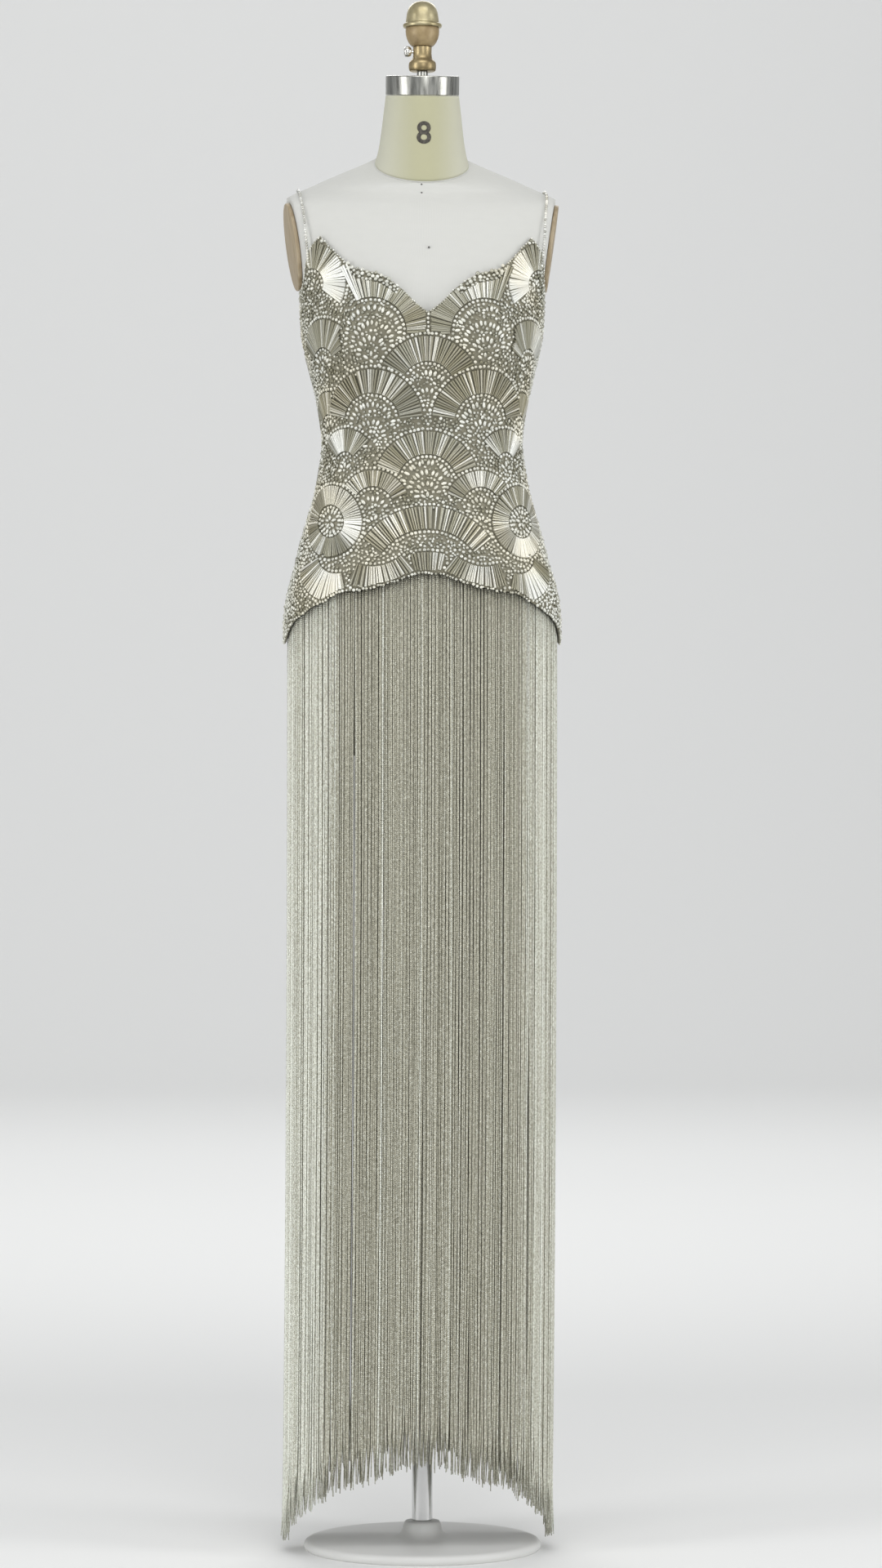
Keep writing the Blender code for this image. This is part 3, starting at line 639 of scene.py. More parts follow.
# Thumb screw: a bright steel screw with a ribbed round head. It goes through the collar's side, clamps the
# rod, and turns on its own axis.
SCREW_HEAD_X = -22.5
SCREW_HEIGHT = 1831.0
RIB_COUNT = 12
RIB_FLOOR = 0.0055
screw = turn_on_lathe(
    "thumb_screw_turned",
    (
        (0.0, 17.0), (1.8, 17.0), (2.2, 16.6), (2.2, 9.0), (3.9, 8.8), (4.8, 8.4), (5.6, 7.6), (6.2, 6.6),
        (6.6, 5.2), (6.7, 4.0), (6.5, 2.7), (6.1, 1.6), (5.3, 0.6), (4.2, 0.1), (2.0, 0.0), (0.0, 0.0),
    ),
    48, (SCREW_HEAD_X, KNOB_Y, SCREW_HEIGHT), Matrix.Rotation(math.radians(90.0), 3, "Y"),
)
for vertex in screw.data.vertices:
    off = Vector((0.0, vertex.co.y - KNOB_Y * 0.001, vertex.co.z - SCREW_HEIGHT * 0.001))
    if off.length > RIB_FLOOR:
        spoke = math.atan2(off.z, off.y)
        vertex.co -= off * 0.035 * (1.0 + math.cos(spoke * RIB_COUNT))
screw_steel = uneven_finish("thumb_screw_steel", (0.78, 0.77, 0.73), 0.24, 1.0, 600.0, roughs=(0.15, 0.4))
screw.data.materials.append(screw_steel)
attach(screw, "thumb_screw")
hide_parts("thumb_screw")

# Stand: a straight chromed steel pole in the hub of a round foot, cast and painted pale grey. The photograph
# hides them or cuts them off, so both are plain.
pole = turn_on_lathe(
    "stand_tube", ((0.0, 935.7), (11.7, 935.7), (12.5, 934.9), (12.5, 0.8), (11.7, 0.0), (0.0, 0.0)),
    48, (0.0, 0.0, 34.3),
)
satin = uneven_finish("pole_chrome", (0.66, 0.66, 0.66), 0.2, 1.0, 25.0, roughs=(0.12, 0.3))
pole.data.materials.append(satin)
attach(pole, "dressed_form")
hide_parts("stand_pole")

base = turn_on_lathe(
    "stand_foot",
    (
        (0.0, 34.0), (18.0, 34.0), (20.6, 33.2), (22.0, 31.6), (23.2, 28.0), (24.0, 24.0), (26.0, 19.6),
        (30.0, 16.8), (36.0, 14.6), (44.0, 13.4), (70.0, 12.7), (131.0, 12.0), (136.5, 11.6), (140.0, 11.0),
        (142.6, 9.6), (144.2, 7.6), (145.0, 5.0), (145.0, 3.0), (144.2, 1.0), (143.0, 0.0), (0.0, 0.0),
    ),
    96, (0.0, 0.0, 0.0),
)
stove = uneven_finish("stand_paint", (0.70, 0.70, 0.68), 0.42, 0.0, 380.0, bump=(0.12, 0.0003))
base.data.materials.append(stove)
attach(base, "dressed_form")
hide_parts("stand_base")

# Bodice: three panels of fine taupe net, worn close to the form and flared over the fringe's tape at the hem.
# The front has two pointed ears, a V between them and an arched hem. A plain seam joins the back panels.
WALL = 0.8
CLOTH_LIFT = 2.8
FRINGE_HANG = 6.0
HEM_LIFT = 9.9
TAPE_COVER = 15.0
HEM_FLARE_HEIGHT = 78.0
SEAM_GAP = 0.4
FRONT_NECKLINE = (
    (0, 1538), (6, 1539), (12, 1542), (19, 1552), (24, 1562), (30, 1572), (36, 1583), (41.5, 1591),
    (46.5, 1598), (50.5, 1583), (54.5, 1567), (60, 1556), (65, 1553), (70.5, 1550), (76, 1541),
    (81.5, 1529), (86.5, 1513), (90, 1503),
)
BACK_NECKLINE = ((0, 1538), (15, 1535), (30, 1524), (50, 1507), (70, 1496), (90, 1492))
FRONT_HEM = (
    (0, 1107), (6, 1114), (12, 1122), (19, 1131), (26, 1138), (42, 1153), (54, 1166), (66, 1169),
    (74, 1174), (80, 1180), (85, 1187), (90, 1188.5),
)
BACK_HEM = ((0, 1107), (12, 1121), (26, 1137), (42, 1152), (60, 1165), (75, 1174), (90, 1178))


def edge_height(front, back, turn):
    """Height of an edge at a turn, from its front or back table of degrees from the side seam."""
    degrees = math.degrees(turn) % 180.0
    degrees = min(degrees, 180.0 - degrees)
    table = front if math.sin(turn) > -1e-9 else back
    return float(np.interp(degrees, [row[0] for row in table], [row[1] for row in table]))


def neckline_height(turn):
    """Height of the net's upper edge at a turn."""
    return edge_height(FRONT_NECKLINE, BACK_NECKLINE, turn)


def hem_height(turn):
    """Height of the net's lower edge at a turn."""
    return edge_height(FRONT_HEM, BACK_HEM, turn)


def hang_point(height, turn, lift=0.0):
    """A point of the upright oval that the fringe hangs in."""
    hips = dict(zip(BODY_COLUMNS, BODY_ROWS[2][1:]))
    return oval_point(hips, height, turn, lift)


def cloth_point(height, turn, lift=0.0):
    """A point of the net's outer face, moved out by lift."""
    close = body_point(height, turn, CLOTH_LIFT + lift)
    over = hang_point(height, turn, HEM_LIFT + lift)
    share = min(max((height - hem_height(turn) - TAPE_COVER) / HEM_FLARE_HEIGHT, 0.0), 1.0)
    share = 1.0 - share * share * (3 - 2 * share)
    return close.lerp(over, share)


net, nodes, links, shader = new_finish("beaded_cloth", (0.27, 0.255, 0.19), 0.6, 0.1)
weave_into(nodes, links, shader, 260.0, (0.31, 0.29, 0.215), (0.19, 0.18, 0.13), 0.0006)
panels = {}
for name, node, first, last, across in (
    ("bodice_front_net", "bodice_front", 0.0, 180.0, 150),
    ("bodice_back_right_net", "bodice_back_right", 180.0, 270.0, 64),
    ("bodice_back_left_net", "bodice_back_left", 270.0, 360.0, 64),
):
    def panel_place(u, v, first=first, last=last):
        """A point of the panel, drawn back by half a seam's gap along its two side edges."""
        turn = math.radians(first + (last - first) * u)
        low, high = hem_height(turn + 1e-7), neckline_height(turn + 1e-7)
        point = cloth_point(low + (high - low) * v, turn)
        inward = Vector((0.0, -1.0, 0.0)) if first == 0.0 else Vector((0.0, 1.0, 0.0))
        if u < 1e-6 or u > 1.0 - 1e-6:
            at_back = abs(math.degrees(turn) - 270.0) < 0.5
            push = Vector((-1.0 if last == 270.0 else 1.0, 0.0, 0.0)) if at_back else inward
            point += push * SEAM_GAP / 2
        return point

    panel = wrap_sheet(name, across, 74, panel_place, closed=False)
    face_outwards()
    middle = panel.data.polygons[len(panel.data.polygons) // 2]
    if middle.normal.dot(middle.center - Vector((0.0, 0.0, middle.center.z))) < 0:
        panel.data.flip_normals()
    thicken(panel, "wall", WALL * 0.001, -1.0)
    panel.data.materials.append(net)
    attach(panel, "dressed_form")
    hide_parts(node)
    panels[node] = panel

# Bead work: long glass bugles in fans, round beads along every arc, short bugles and small round beads inside
# the fans and between them, all sewn flat on the net. The net is measured once, so a bead is placed by its
# distance along the cloth from the middle of the front or back, and its height.
NET_STEP = 4.0
net_heights = np.arange(1096.0, 1606.0, NET_STEP)
net_turns = np.radians(np.arange(0.0, 361.0, 1.0))
net_points = np.array([[tuple(cloth_point(h, t)) for t in net_turns] for h in net_heights])
steps_across = np.linalg.norm(np.diff(net_points, axis=1), axis=2)
net_reach = np.concatenate([np.zeros((len(net_heights), 1)), np.cumsum(steps_across, axis=1)], axis=1)
net_across = np.gradient(net_points, axis=1)
net_upward = np.gradient(net_points, axis=0)
net_normals = np.cross(net_upward, net_across)
net_normals /= np.linalg.norm(net_normals, axis=2, keepdims=True)
outward = net_points * np.array([1.0, 1.0, 0.0])
net_normals *= np.sign(np.sum(net_normals * outward, axis=2, keepdims=True))


def net_row(height):
    """The measured row of the net at or just below a height."""
    return int(min(max((height - net_heights[0]) / NET_STEP, 0.0), len(net_heights) - 1))


def spot_on_net(across, height, back):
    """Point, outward direction and turn, for a distance along the cloth from its middle and a height."""
    row = min(max((height - net_heights[0]) / NET_STEP, 0.0), len(net_heights) - 1.001)
    low = int(row)
    share = row - low
    reach = (1 - share) * net_reach[low] + share * net_reach[low + 1]
    if back:
        column = float(np.interp(across, reach[180:361] - reach[270], np.arange(180, 361)))
    else:
        column = float(np.interp(across, (reach[90] - reach[0:181])[::-1], np.arange(180, -1, -1)))
    column = min(column, 359.999)
    left = int(column)
    part_way = column - left
    found = []
    for table in (net_points, net_normals):
        lower = table[low, left] * (1 - part_way) + table[low, left + 1] * part_way
        upper = table[low + 1, left] * (1 - part_way) + table[low + 1, left + 1] * part_way
        found.append(lower * (1 - share) + upper * share)
    return found[0], found[1] / np.linalg.norm(found[1]), math.radians(column)


def reach_of_x(x, height):
    """Distance along the front from its middle to where the net is x from the middle plane."""
    row = net_row(height)
    reach = net_reach[row][90] - net_reach[row][0:91]
    return math.copysign(float(np.interp(abs(x), net_points[row, 0:91, 0][::-1], reach[::-1])), x)


SEAM_MARGIN = 1.7


def inside_panel(across, height, back, margin):
    """Whether a spot lies on its panel, at least margin from the neckline, hem and seams."""
    _, _, turn = spot_on_net(across, height, back)
    reach = net_reach[net_row(height)]
    half = (reach[360] - reach[270]) if back else (reach[90] - reach[0])
    seam = min(margin, SEAM_MARGIN)
    if abs(across) > half - seam or (back and abs(across) < seam):
        return False
    return hem_height(turn) + margin < height < neckline_height(turn) - margin


# A fan: where its centre lies, the inner and outer radius of its bugles, from which angle to which they run
# (0 is up, and on the left and right fans positive is towards the middle), and how far down its tail reaches.
# A tail below zero leaves the fan's middle out, to that radius.
FRONT_FANS = (
    (133.0, 1543.0, 16.0, 50.0, -40, 128, 14.0),
    (123.0, 1443.0, 20.0, 54.0, -65, 62, 14.0),
    (68.0, 1477.0, 41.0, 90.0, -24, 122, 36.0),
    (0.0, 1412.0, 32.0, 63.0, -74, 74, 36.0),
    (114.0, 1366.0, 18.0, 46.0, -60, 60, 16.0),
    (67.0, 1372.0, 35.0, 64.0, -78, 84, 34.0),
    (97.0, 1322.0, 15.0, 44.0, -52, 52, 15.0),
    (0.0, 1296.0, 36.0, 65.0, -72, 72, 20.0),
    (65.0, 1268.0, 25.0, 46.0, -78, 66, 26.0),
    (115.0, 1252.0, 20.0, 45.0, -180, 179, 0.0),
    (0.0, 1171.0, 69.0, 98.0, -53, 53, -40.0),
    (66.0, 1249.0, 52.0, 80.0, 140, 200, -46.0),
    (108.0, 1219.0, 30.0, 66.0, 168, 250, -22.0),
    (0.0, 1131.0, 57.0, 83.0, -14, 14, -56.0),
)
FAN_REACH = 6.0
ARC_ROOM = 3.6
MIDDLE_ROOM = 2.0
TAIL_START = 95.0
rng = np.random.default_rng(8)


def fan_list(rows, back):
    """The fans of the front or back, mirrored, as (across, height, inner, outer, start, end, tail, side)."""
    fans = []
    for x, height, inner, outer, start, end, tail in rows:
        across = x if back else reach_of_x(x, height)
        fans.append((across, height, inner, outer, start, end, tail, -1.0 if x > 0 else 1.0))
        if x > 0:
            fans.append((-across, height, inner, outer, start, end, tail, 1.0))
    return fans


def fan_claims(fan, across, height, margin):
    """Whether a spot lies in a fan's own shape: its ring, its round middle or its tail."""
    centre, level, inner, outer, start, end, tail, side = fan
    dx, dz = (across - centre) * side, height - level
    distance = math.hypot(dx, dz)
    if distance > outer + FAN_REACH:
        return False
    angle = math.degrees(math.atan2(dx, dz))
    if end > 180 and angle < 0:
        angle += 360.0
    if start <= angle <= end:
        if tail < 0 and distance < -tail:
            return False
        return distance < outer + ARC_ROOM + margin
    if tail < 0:
        return False
    fold = abs(angle if angle <= 180 else 360.0 - angle)
    limit = inner + MIDDLE_ROOM
    if fold > TAIL_START:
        limit += (tail - inner) * (fold - TAIL_START) / (180.0 - TAIL_START)
    return distance < limit + margin


bead_places = {"front": [], "back_left": [], "back_right": []}
bugle_places = {"front": [], "back_left": [], "back_right": []}
# Painted highlights: patches where the beads' colour is made bright for the light that the dress throws back.
# Each gives its place across and up, half width, half height and strength.
PAINTED_HIGHLIGHTS = (
    (-106.0, 1544.0, 14.0, 30.0, 1.0), (113.0, 1544.0, 14.0, 30.0, 1.0), (-106.0, 1358.0, 7.0, 13.0, 0.9),
    (112.0, 1358.0, 7.0, 14.0, 1.0), (-56.0, 1352.0, 7.0, 14.0, 0.9), (99.0, 1303.0, 7.0, 12.0, 1.0),
    (60.0, 1308.0, 10.0, 12.0, 0.75), (-45.0, 1309.0, 8.0, 10.0, 0.6), (-88.0, 1240.0, 14.0, 14.0, 1.0),
    (118.0, 1212.0, 14.0, 20.0, 1.0), (-122.0, 1166.0, 20.0, 17.0, 1.0), (136.0, 1162.0, 17.0, 22.0, 1.0),
    (16.0, 1206.0, 12.0, 10.0, 0.6), (-100.0, 1262.0, 24.0, 30.0, 0.6), (114.0, 1236.0, 30.0, 30.0, 0.42),
    (-140.0, 1420.0, 14.0, 30.0, 0.5), (138.0, 1440.0, 10.0, 40.0, 0.6), (62.0, 1352.0, 20.0, 20.0, 0.5),
    (62.0, 1192.0, 16.0, 13.0, 0.55), (-58.0, 1190.0, 20.0, 12.0, 0.45),
)


def painted_highlight_at(point):
    """How strongly a place on the dress is painted with a highlight."""
    best = 0.0
    for x, height, half_width, half_height, strength in PAINTED_HIGHLIGHTS:
        away = math.hypot((point[0] - x) / half_width, (point[2] - height) / half_height)
        if away < 1.3:
            best = max(best, strength * min(1.0, 4.0 - 3.0 * away))
    return best * rng.uniform(0.86, 1.0)


taken = {True: {}, False: {}}
ROOM_CELL = 6.0


def take_room(back, across, height, radius):
    """Notes that a bead covers a spot of the net."""
    cell = (int(across // ROOM_CELL), int(height // ROOM_CELL))
    taken[back].setdefault(cell, []).append((across, height, radius))


def has_room(back, across, height, radius):
    """Whether a round bead of this radius fits between those already sewn on."""
    column, row = int(across // ROOM_CELL), int(height // ROOM_CELL)
    for i in (column - 1, column, column + 1):
        for j in (row - 1, row, row + 1):
            for x, z, other in taken[back].get((i, j), ()):
                if (x - across) ** 2 + (z - height) ** 2 < (radius + other) ** 2:
                    return False
    return True


def panel_of(across, back):
    """The panel that a spot lies on."""
    return ("back_left" if across > 0 else "back_right") if back else "front"


BEAD_SEAT = 0.72
BEAD_DEPTH = 0.9


def add_bead(group, across, height, back, radius, tint, towards=None, stretch=1.0):
    """A round bead, or a rice-shaped one drawn out towards a spot."""
    point, normal, _ = spot_on_net(across, height, back)
    take_room(back, across, height, radius * 0.9)
    seat = point + normal * radius * BEAD_SEAT
    up = np.array((0.0, 0.0, 1.0))
    if towards is not None:
        up = spot_on_net(towards[0], towards[1], back)[0] - point
    side = np.cross(up, normal)
    side /= np.linalg.norm(side)
    up = np.cross(normal, side)
    stretch *= rng.uniform(0.92, 1.1)
    frame_of_bead = np.column_stack(
        (side * radius, up * radius * stretch, normal * radius * BEAD_DEPTH, seat)
    )
    # The bead's shine is its tint, raised to a painted highlight inside a highlight patch.
    shine = max(tint, 0.95 * painted_highlight_at(point))
    bead_places[group].append((frame_of_bead, shine))


BUGLE_LIFT = 0.35
BUGLE_ROOM = 2.0


def add_bugle(group, start, end, back, radius, tint):
    """A six-sided bugle between two spots, slightly tipped and rolled, as sewn by hand."""
    first, normal_first, _ = spot_on_net(start[0], start[1], back)
    second, normal_second, _ = spot_on_net(end[0], end[1], back)
    tilt = rng.uniform(-0.25, 0.25)
    first = first + normal_first * (radius + BUGLE_LIFT + max(tilt, 0.0))
    second = second + normal_second * (radius + BUGLE_LIFT + max(-tilt, 0.0))
    along = second - first
    normal = normal_first + normal_second
    side = np.cross(normal, along)
    side /= np.linalg.norm(side)
    top = np.cross(along, side)
    top /= np.linalg.norm(top)
    roll = rng.uniform(0.0, math.pi / 3.0)
    side, top = side * math.cos(roll) + top * math.sin(roll), top * math.cos(roll) - side * math.sin(roll)
    middle = 0.5 * (first + second)
    # The bugle's shine is its tint, raised to a painted highlight inside a highlight patch.
    shine = max(tint, painted_highlight_at(middle))
    bugle_places[group].append((np.column_stack((side * radius, top * radius, along, middle)), shine))
    length = np.linalg.norm(along)
    for k in range(int(length / BUGLE_ROOM) + 1):
        share = k * BUGLE_ROOM / length
        take_room(back, start[0] + (end[0] - start[0]) * share, start[1] + (end[1] - start[1]) * share, 1.0)


# The cups' upper edge carries a band of chunky beads, between these distances from the middle.
CUP_BAND = (36.0, 98.0)
CUP_BAND_LOW = 1480.0
CUP_BAND_DEPTH = 13.0
BUGLE_EDGE = 2.2
BEAD_EDGE = 3.4
SHORTEST_BUGLE = 8.0
TRIM_STEP = 1.5


def sew_fans(fans, back):
    """Lays every fan's bugles, arcs of round beads and inner rows, clear of the fans laid after it."""
    for index, fan in enumerate(fans):
        centre, level, inner, outer, start, end, tail, side = fan
        patch = rng.uniform(0.0, 2.0 * math.pi)
        later = [other for other in fans[index + 1:] if not (other[1] == level and other[0] == -centre)]

        def spot(angle, distance, drop=0.0):
            """Place across and up, at an angle and a distance from the fan's centre."""
            turned = math.radians(angle)
            return centre + side * math.sin(turned) * distance, level - drop + math.cos(turned) * distance

        def free(place, margin, edge=BEAD_EDGE):
            """Whether a spot is on the panel, on the fan's own side and clear of the later fans."""
            if not back and place[1] > CUP_BAND_LOW and CUP_BAND[0] < abs(place[0]) < CUP_BAND[1]:
                edge = max(edge, CUP_BAND_DEPTH)
            if not inside_panel(place[0], place[1], back, edge):
                return False
            if place[0] * centre < 0 or (abs(centre) > 1.0 and abs(place[0]) < 3.2):
                return False
            return not any(fan_claims(other, place[0], place[1], margin) for other in later)

        step = math.degrees((3.5 if outer < 60 else 3.8) / outer)
        angle = start
        while angle <= end:
            far = outer - 1.0
            lean = angle + rng.normal(0.0, 0.5)
            while far > inner + SHORTEST_BUGLE and not free(spot(lean, far), 0.5, BUGLE_EDGE):
                far -= TRIM_STEP
            near = inner + 1.0
            while near < far - SHORTEST_BUGLE and not free(spot(lean, near), 0.5):
                near += TRIM_STEP
            if far - near >= SHORTEST_BUGLE and free(spot(lean, near), 0.5):
                bright = rng.uniform() < 0.1 + 0.3 * (0.5 + 0.5 * math.sin(angle * 0.07 + patch))
                tint = rng.uniform(0.42, 0.8) if bright else rng.uniform(0.08, 0.26)
                start_place, end_place = spot(lean, near), spot(lean, far)
                group = panel_of(start_place[0], back)
                add_bugle(group, start_place, end_place, back, rng.uniform(1.55, 1.7), tint)
            angle += step * rng.uniform(0.96, 1.04)
        for arc, spread, radius in ((outer + 2.4, 5.3, 2.25), (inner - 2.2, 5.2, 2.15)):
            step = math.degrees(spread / arc)
            angle = start
            while angle <= end:
                place = spot(angle + rng.normal(0.0, 0.4), arc + rng.normal(0.0, 0.3))
                if free(place, 0.0):
                    group = panel_of(place[0], back)
                    add_bead(group, *place, back, radius * rng.uniform(0.9, 1.12), rng.uniform(0.5, 1.0))
                angle += step
        if tail < 0:
            continue
        rows = max(int(inner / 9.0), 1)
        for row in range(rows):
            share = 1.0 - (row + 0.55) / (rows + 0.2)
            ring = (inner - 2.0) * share
            drop = tail * (1.0 - share)
            half = 180.0 if end - start > 350 else 100.0
            count = max(int(math.radians(2 * half) * ring / 5.6), 1)
            for k in range(count):
                angle = -half + 2 * half * (k + 0.5 * (row % 2)) / count
                place = spot(angle + rng.normal(0.0, 2.0), ring + rng.normal(0.0, 0.6), drop)
                inward = spot(angle, max(ring - 6.0, 0.3), drop * 1.05)
                if free(place, 0.0) and has_room(back, *place, 1.6):
                    for reach in (-0.4, 0.4):
                        take_room(back, place[0] + (inward[0] - place[0]) * reach,
                                  place[1] + (inward[1] - place[1]) * reach, 1.4)
                    group = panel_of(place[0], back)
                    add_bead(group, *place, back, rng.uniform(1.85, 2.3), rng.uniform(0.6, 1.0), inward, 1.9)


SOWN_HALF_WIDTH = 238.0
SOWN_LOW = 1100.0
SOWN_HEIGHT = 505.0
SOWN_PITCH = 1.9


def sow_between(back):
    """Small beads, round or drawn out, over all that the fans leave bare, close together and uneven."""
    rows, columns = int(SOWN_HEIGHT / SOWN_PITCH), int(2 * SOWN_HALF_WIDTH / SOWN_PITCH)
    places = [
        (column * SOWN_PITCH - SOWN_HALF_WIDTH, SOWN_LOW + row * SOWN_PITCH)
        for row in range(rows) for column in range(columns)
    ]
    for index in rng.permutation(len(places)):
        across = places[index][0] + rng.uniform(-0.8, 0.8)
        height = places[index][1] + rng.uniform(-0.8, 0.8)
        radius = rng.uniform(1.6, 2.4)
        if not has_room(back, across, height, radius - 0.1) or not inside_panel(across, height, back, 2.6):
            continue
        bright = rng.uniform() < (0.75 if height < 1262.0 else 0.5)
        tint = rng.uniform(0.5, 0.95) if bright else rng.uniform(0.05, 0.4)
        towards, stretch = None, 1.0
        if rng.uniform() < 0.35 and inside_panel(across, height, back, 5.0):
            heading = rng.uniform(0.0, 2.0 * math.pi)
            towards = (across + 4.0 * math.cos(heading), height + 4.0 * math.sin(heading))
            radius, stretch = radius * 0.84, 1.55
        add_bead(panel_of(across, back), across, height, back, radius, tint, towards, stretch)


def edge_row(group, back, first, last, edge, inset, radius, band):
    """A row of round beads that follows the neckline or the hem, inside or outside the cups' band."""
    turn = math.radians(first)
    while turn < math.radians(last):
        height = edge(turn) + inset * (-1.0 if edge is neckline_height else 1.0)
        reaches = net_reach[net_row(height)]
        reach = float(np.interp(math.degrees(turn), np.arange(361), reaches))
        across = reach - reaches[270] if back else reaches[90] - reach
        on_cup = not back and edge is neckline_height and CUP_BAND[0] < abs(across) < CUP_BAND[1]
        skipped = edge is hem_height and rng.uniform() < 0.12
        if on_cup == band and not skipped:
            wobble = 1.1 if band or edge is hem_height else 0.6
            add_bead(group, across + rng.uniform(-wobble, wobble), height + rng.uniform(-wobble, wobble),
                     back, radius * rng.uniform(0.75, 1.2), rng.uniform(0.3, 1.0))
        ahead = cloth_point(height, turn + 0.01) - cloth_point(height, turn)
        slope = (edge(turn + 0.01) - edge(turn)) / 0.01
        turn += (2.0 * radius + 0.5) / max(math.hypot(ahead.length / 0.01, slope), 1.0)


# The back carries even rows of one fan, set between those of the row above.
BACK_FANS = tuple(
    (68.0 * column, 1455.0 - 57.0 * row, 34.0, 63.0, -76, 76, 30.0)
    for row in range(6) for column in range(4) if (row + column) % 2 == 0
)
for inset, radius in ((1.0, 2.6), (5.8, 2.6), (10.4, 2.3)):
    edge_row("front", False, 0.6, 179.4, neckline_height, inset, radius, band=True)
for group, back, first, last in (
    ("front", False, 0.6, 179.4), ("back_right", True, 180.6, 269.6), ("back_left", True, 270.4, 359.4),
):
    edge_row(group, back, first, last, neckline_height, 1.4, 1.4, band=False)
    edge_row(group, back, first, last, hem_height, 0.2, 1.9, band=False)
# A column of beads down the middle joins the point of the V to the uppermost middle fan.
for step in range(5):
    across, height = rng.uniform(-0.5, 0.5), 1500.0 - 4.9 * step
    add_bead("front", across, height, False, rng.uniform(2.0, 2.5), rng.uniform(0.7, 1.0))
for rows, back in ((FRONT_FANS, False), (BACK_FANS, True)):
    sew_fans(fan_list(rows, back), back)
    sow_between(back)

bpy.ops.mesh.primitive_ico_sphere_add(subdivisions=1, radius=1.0)
one_bead = bpy.context.object
# A bugle tapers towards its fan's centre, where the bugles lie closest.
BUGLE_TAPER = 0.62
bpy.ops.mesh.primitive_cylinder_add(vertices=6, radius=1.0, depth=1.0)
one_bugle = bpy.context.object
for vertex in one_bugle.data.vertices:
    if vertex.co.z < 0.0:
        vertex.co.x *= BUGLE_TAPER
        vertex.co.y *= BUGLE_TAPER


def sew_all(name, shape, places, material):
    """One mesh of a bead's copies, each at its own place, with its brightness as an attribute."""
    corners = np.array([tuple(v.co) for v in shape.data.vertices])
    faces = [tuple(p.vertices) for p in shape.data.polygons]
    frames = np.array([place for place, _ in places])
    points = np.einsum("pij,vj->pvi", frames[:, :, :3], corners) + frames[:, None, :, 3]
    count = len(corners)
    all_faces = [tuple(index + k * count for index in face) for k in range(len(places)) for face in faces]
    mesh = bpy.data.meshes.new(name)
    mesh.from_pydata(points.reshape(-1, 3) * 0.001, [], all_faces)
    shine = mesh.attributes.new("shine", "FLOAT", "POINT")
    shine.data.foreach_set("value", np.repeat([tint for _, tint in places], count).astype(np.float32))
    piece = bpy.data.objects.new(name, mesh)
    bpy.context.scene.collection.objects.link(piece)
    mesh.shade_smooth()
    mesh.set_sharp_from_angle(angle=math.radians(75.0))
    mesh.materials.append(material)
    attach(piece, "dressed_form")
    return piece


def glass_finish(name, dark, light, roughness, metallic):
    """Silver-lined glass, dark to bright by its shine: the bead's tint and painted highlight, with a faint
    drifting tinge.
    """
    material, nodes, links, shader = new_finish(name, light, roughness, metallic)
    shine = new_node(nodes, "Attribute", attribute_name="shine")
    place = new_node(nodes, "TexCoord")
    patches = new_node(nodes, "TexNoise", {"Scale": 16.0, "Detail": 1.0})
    tinge = shade_ramp(nodes, (0.36, (1.0, 0.95, 0.80)), (0.47, (1.0, 1.0, 0.96)), (0.64, (0.93, 0.97, 1.0)))
    colour = shade_ramp(nodes, (0.1, dark), (1.0, light))
    stain = new_node(nodes, "Mix", {"Factor": 0.5}, data_type="RGBA", blend_type="MULTIPLY")
    # Brighter beads, painted highlights among them, are less metallic and smoother, so that they read as
    # white.
    metal = new_node(nodes, "MapRange", {"From Min": 0.5, "To Min": metallic, "To Max": 0.05})
    rough = new_node(nodes, "MapRange", {"To Min": roughness + 0.1, "To Max": roughness - 0.06})
    wire_up(links, place, "Object", "Vector", patches, "Fac", "Fac", tinge, "Color", "B", stain)
    wire_up(links, shine, "Fac", "Fac", colour, "Color", "A", stain, "Result", "Base Color", shader)
    wire_up(links, shine, "Fac", "Value", metal, "Result", "Metallic", shader)
    wire_up(links, shine, "Fac", "Value", rough, "Result", "Roughness", shader)
    return material


bugle_glass = glass_finish("bugle_glass", (0.29, 0.275, 0.20), (0.97, 0.96, 0.90), 0.22, 0.4)
bead_glass = glass_finish("bead_glass", (0.28, 0.27, 0.20), (0.93, 0.92, 0.84), 0.18, 0.4)
for group in ("front", "back_left", "back_right"):
    bugles = sew_all(group + "_bugles", one_bugle, bugle_places[group], bugle_glass)
    beads = sew_all(group + "_round_beads", one_bead, bead_places[group], bead_glass)

# Straps: a single string of small silver beads on each side, threaded close together. It is sewn to the ear
# and to the back's edge, and lies on the form's shoulder between them.
STRAP_RADIUS = 1.7
STRAP_REST = 0.8
STRAP_EDGE_CLEAR = 8.0
STRAP_SINK = 36.0
STRAP_ON_CLOTH = 4.4
STRAP_PITCH = 3.25
STRAP_BEAD_RADIUS = 1.68


def surface_normal(height, turn):
    """The outward direction of the form's surface."""
    upward = body_point(height + 1.0, turn) - body_point(height - 1.0, turn)
    around = body_point(height, turn + 0.01) - body_point(height, turn - 0.01)
    normal = upward.cross(around)
    centre = Vector((0, smooth_row(BODY_ROWS, height)["centre"], height - 40.0))
    if normal.dot(body_point(height, turn) - centre) < 0:
        normal.negate()
    return normal.normalized()


def strap_point(height, x, back):
    """A point of the strap's middle line: on the cloth up to its edge, then sinking to the form."""
    size = smooth_row(BODY_ROWS, height)
    turn = math.acos(min(x / size["half_width"], 1.0) ** (size["squareness"] / 2))
    turn = -turn if back else turn
    past_edge = min(max((height - neckline_height(turn) - STRAP_EDGE_CLEAR) / STRAP_SINK, 0.0), 1.0)
    sunk = past_edge * past_edge * (3 - 2 * past_edge)
    lift = STRAP_REST + STRAP_RADIUS + STRAP_ON_CLOTH * (1.0 - sunk)
    return body_point(height, turn) + surface_normal(height, turn) * lift


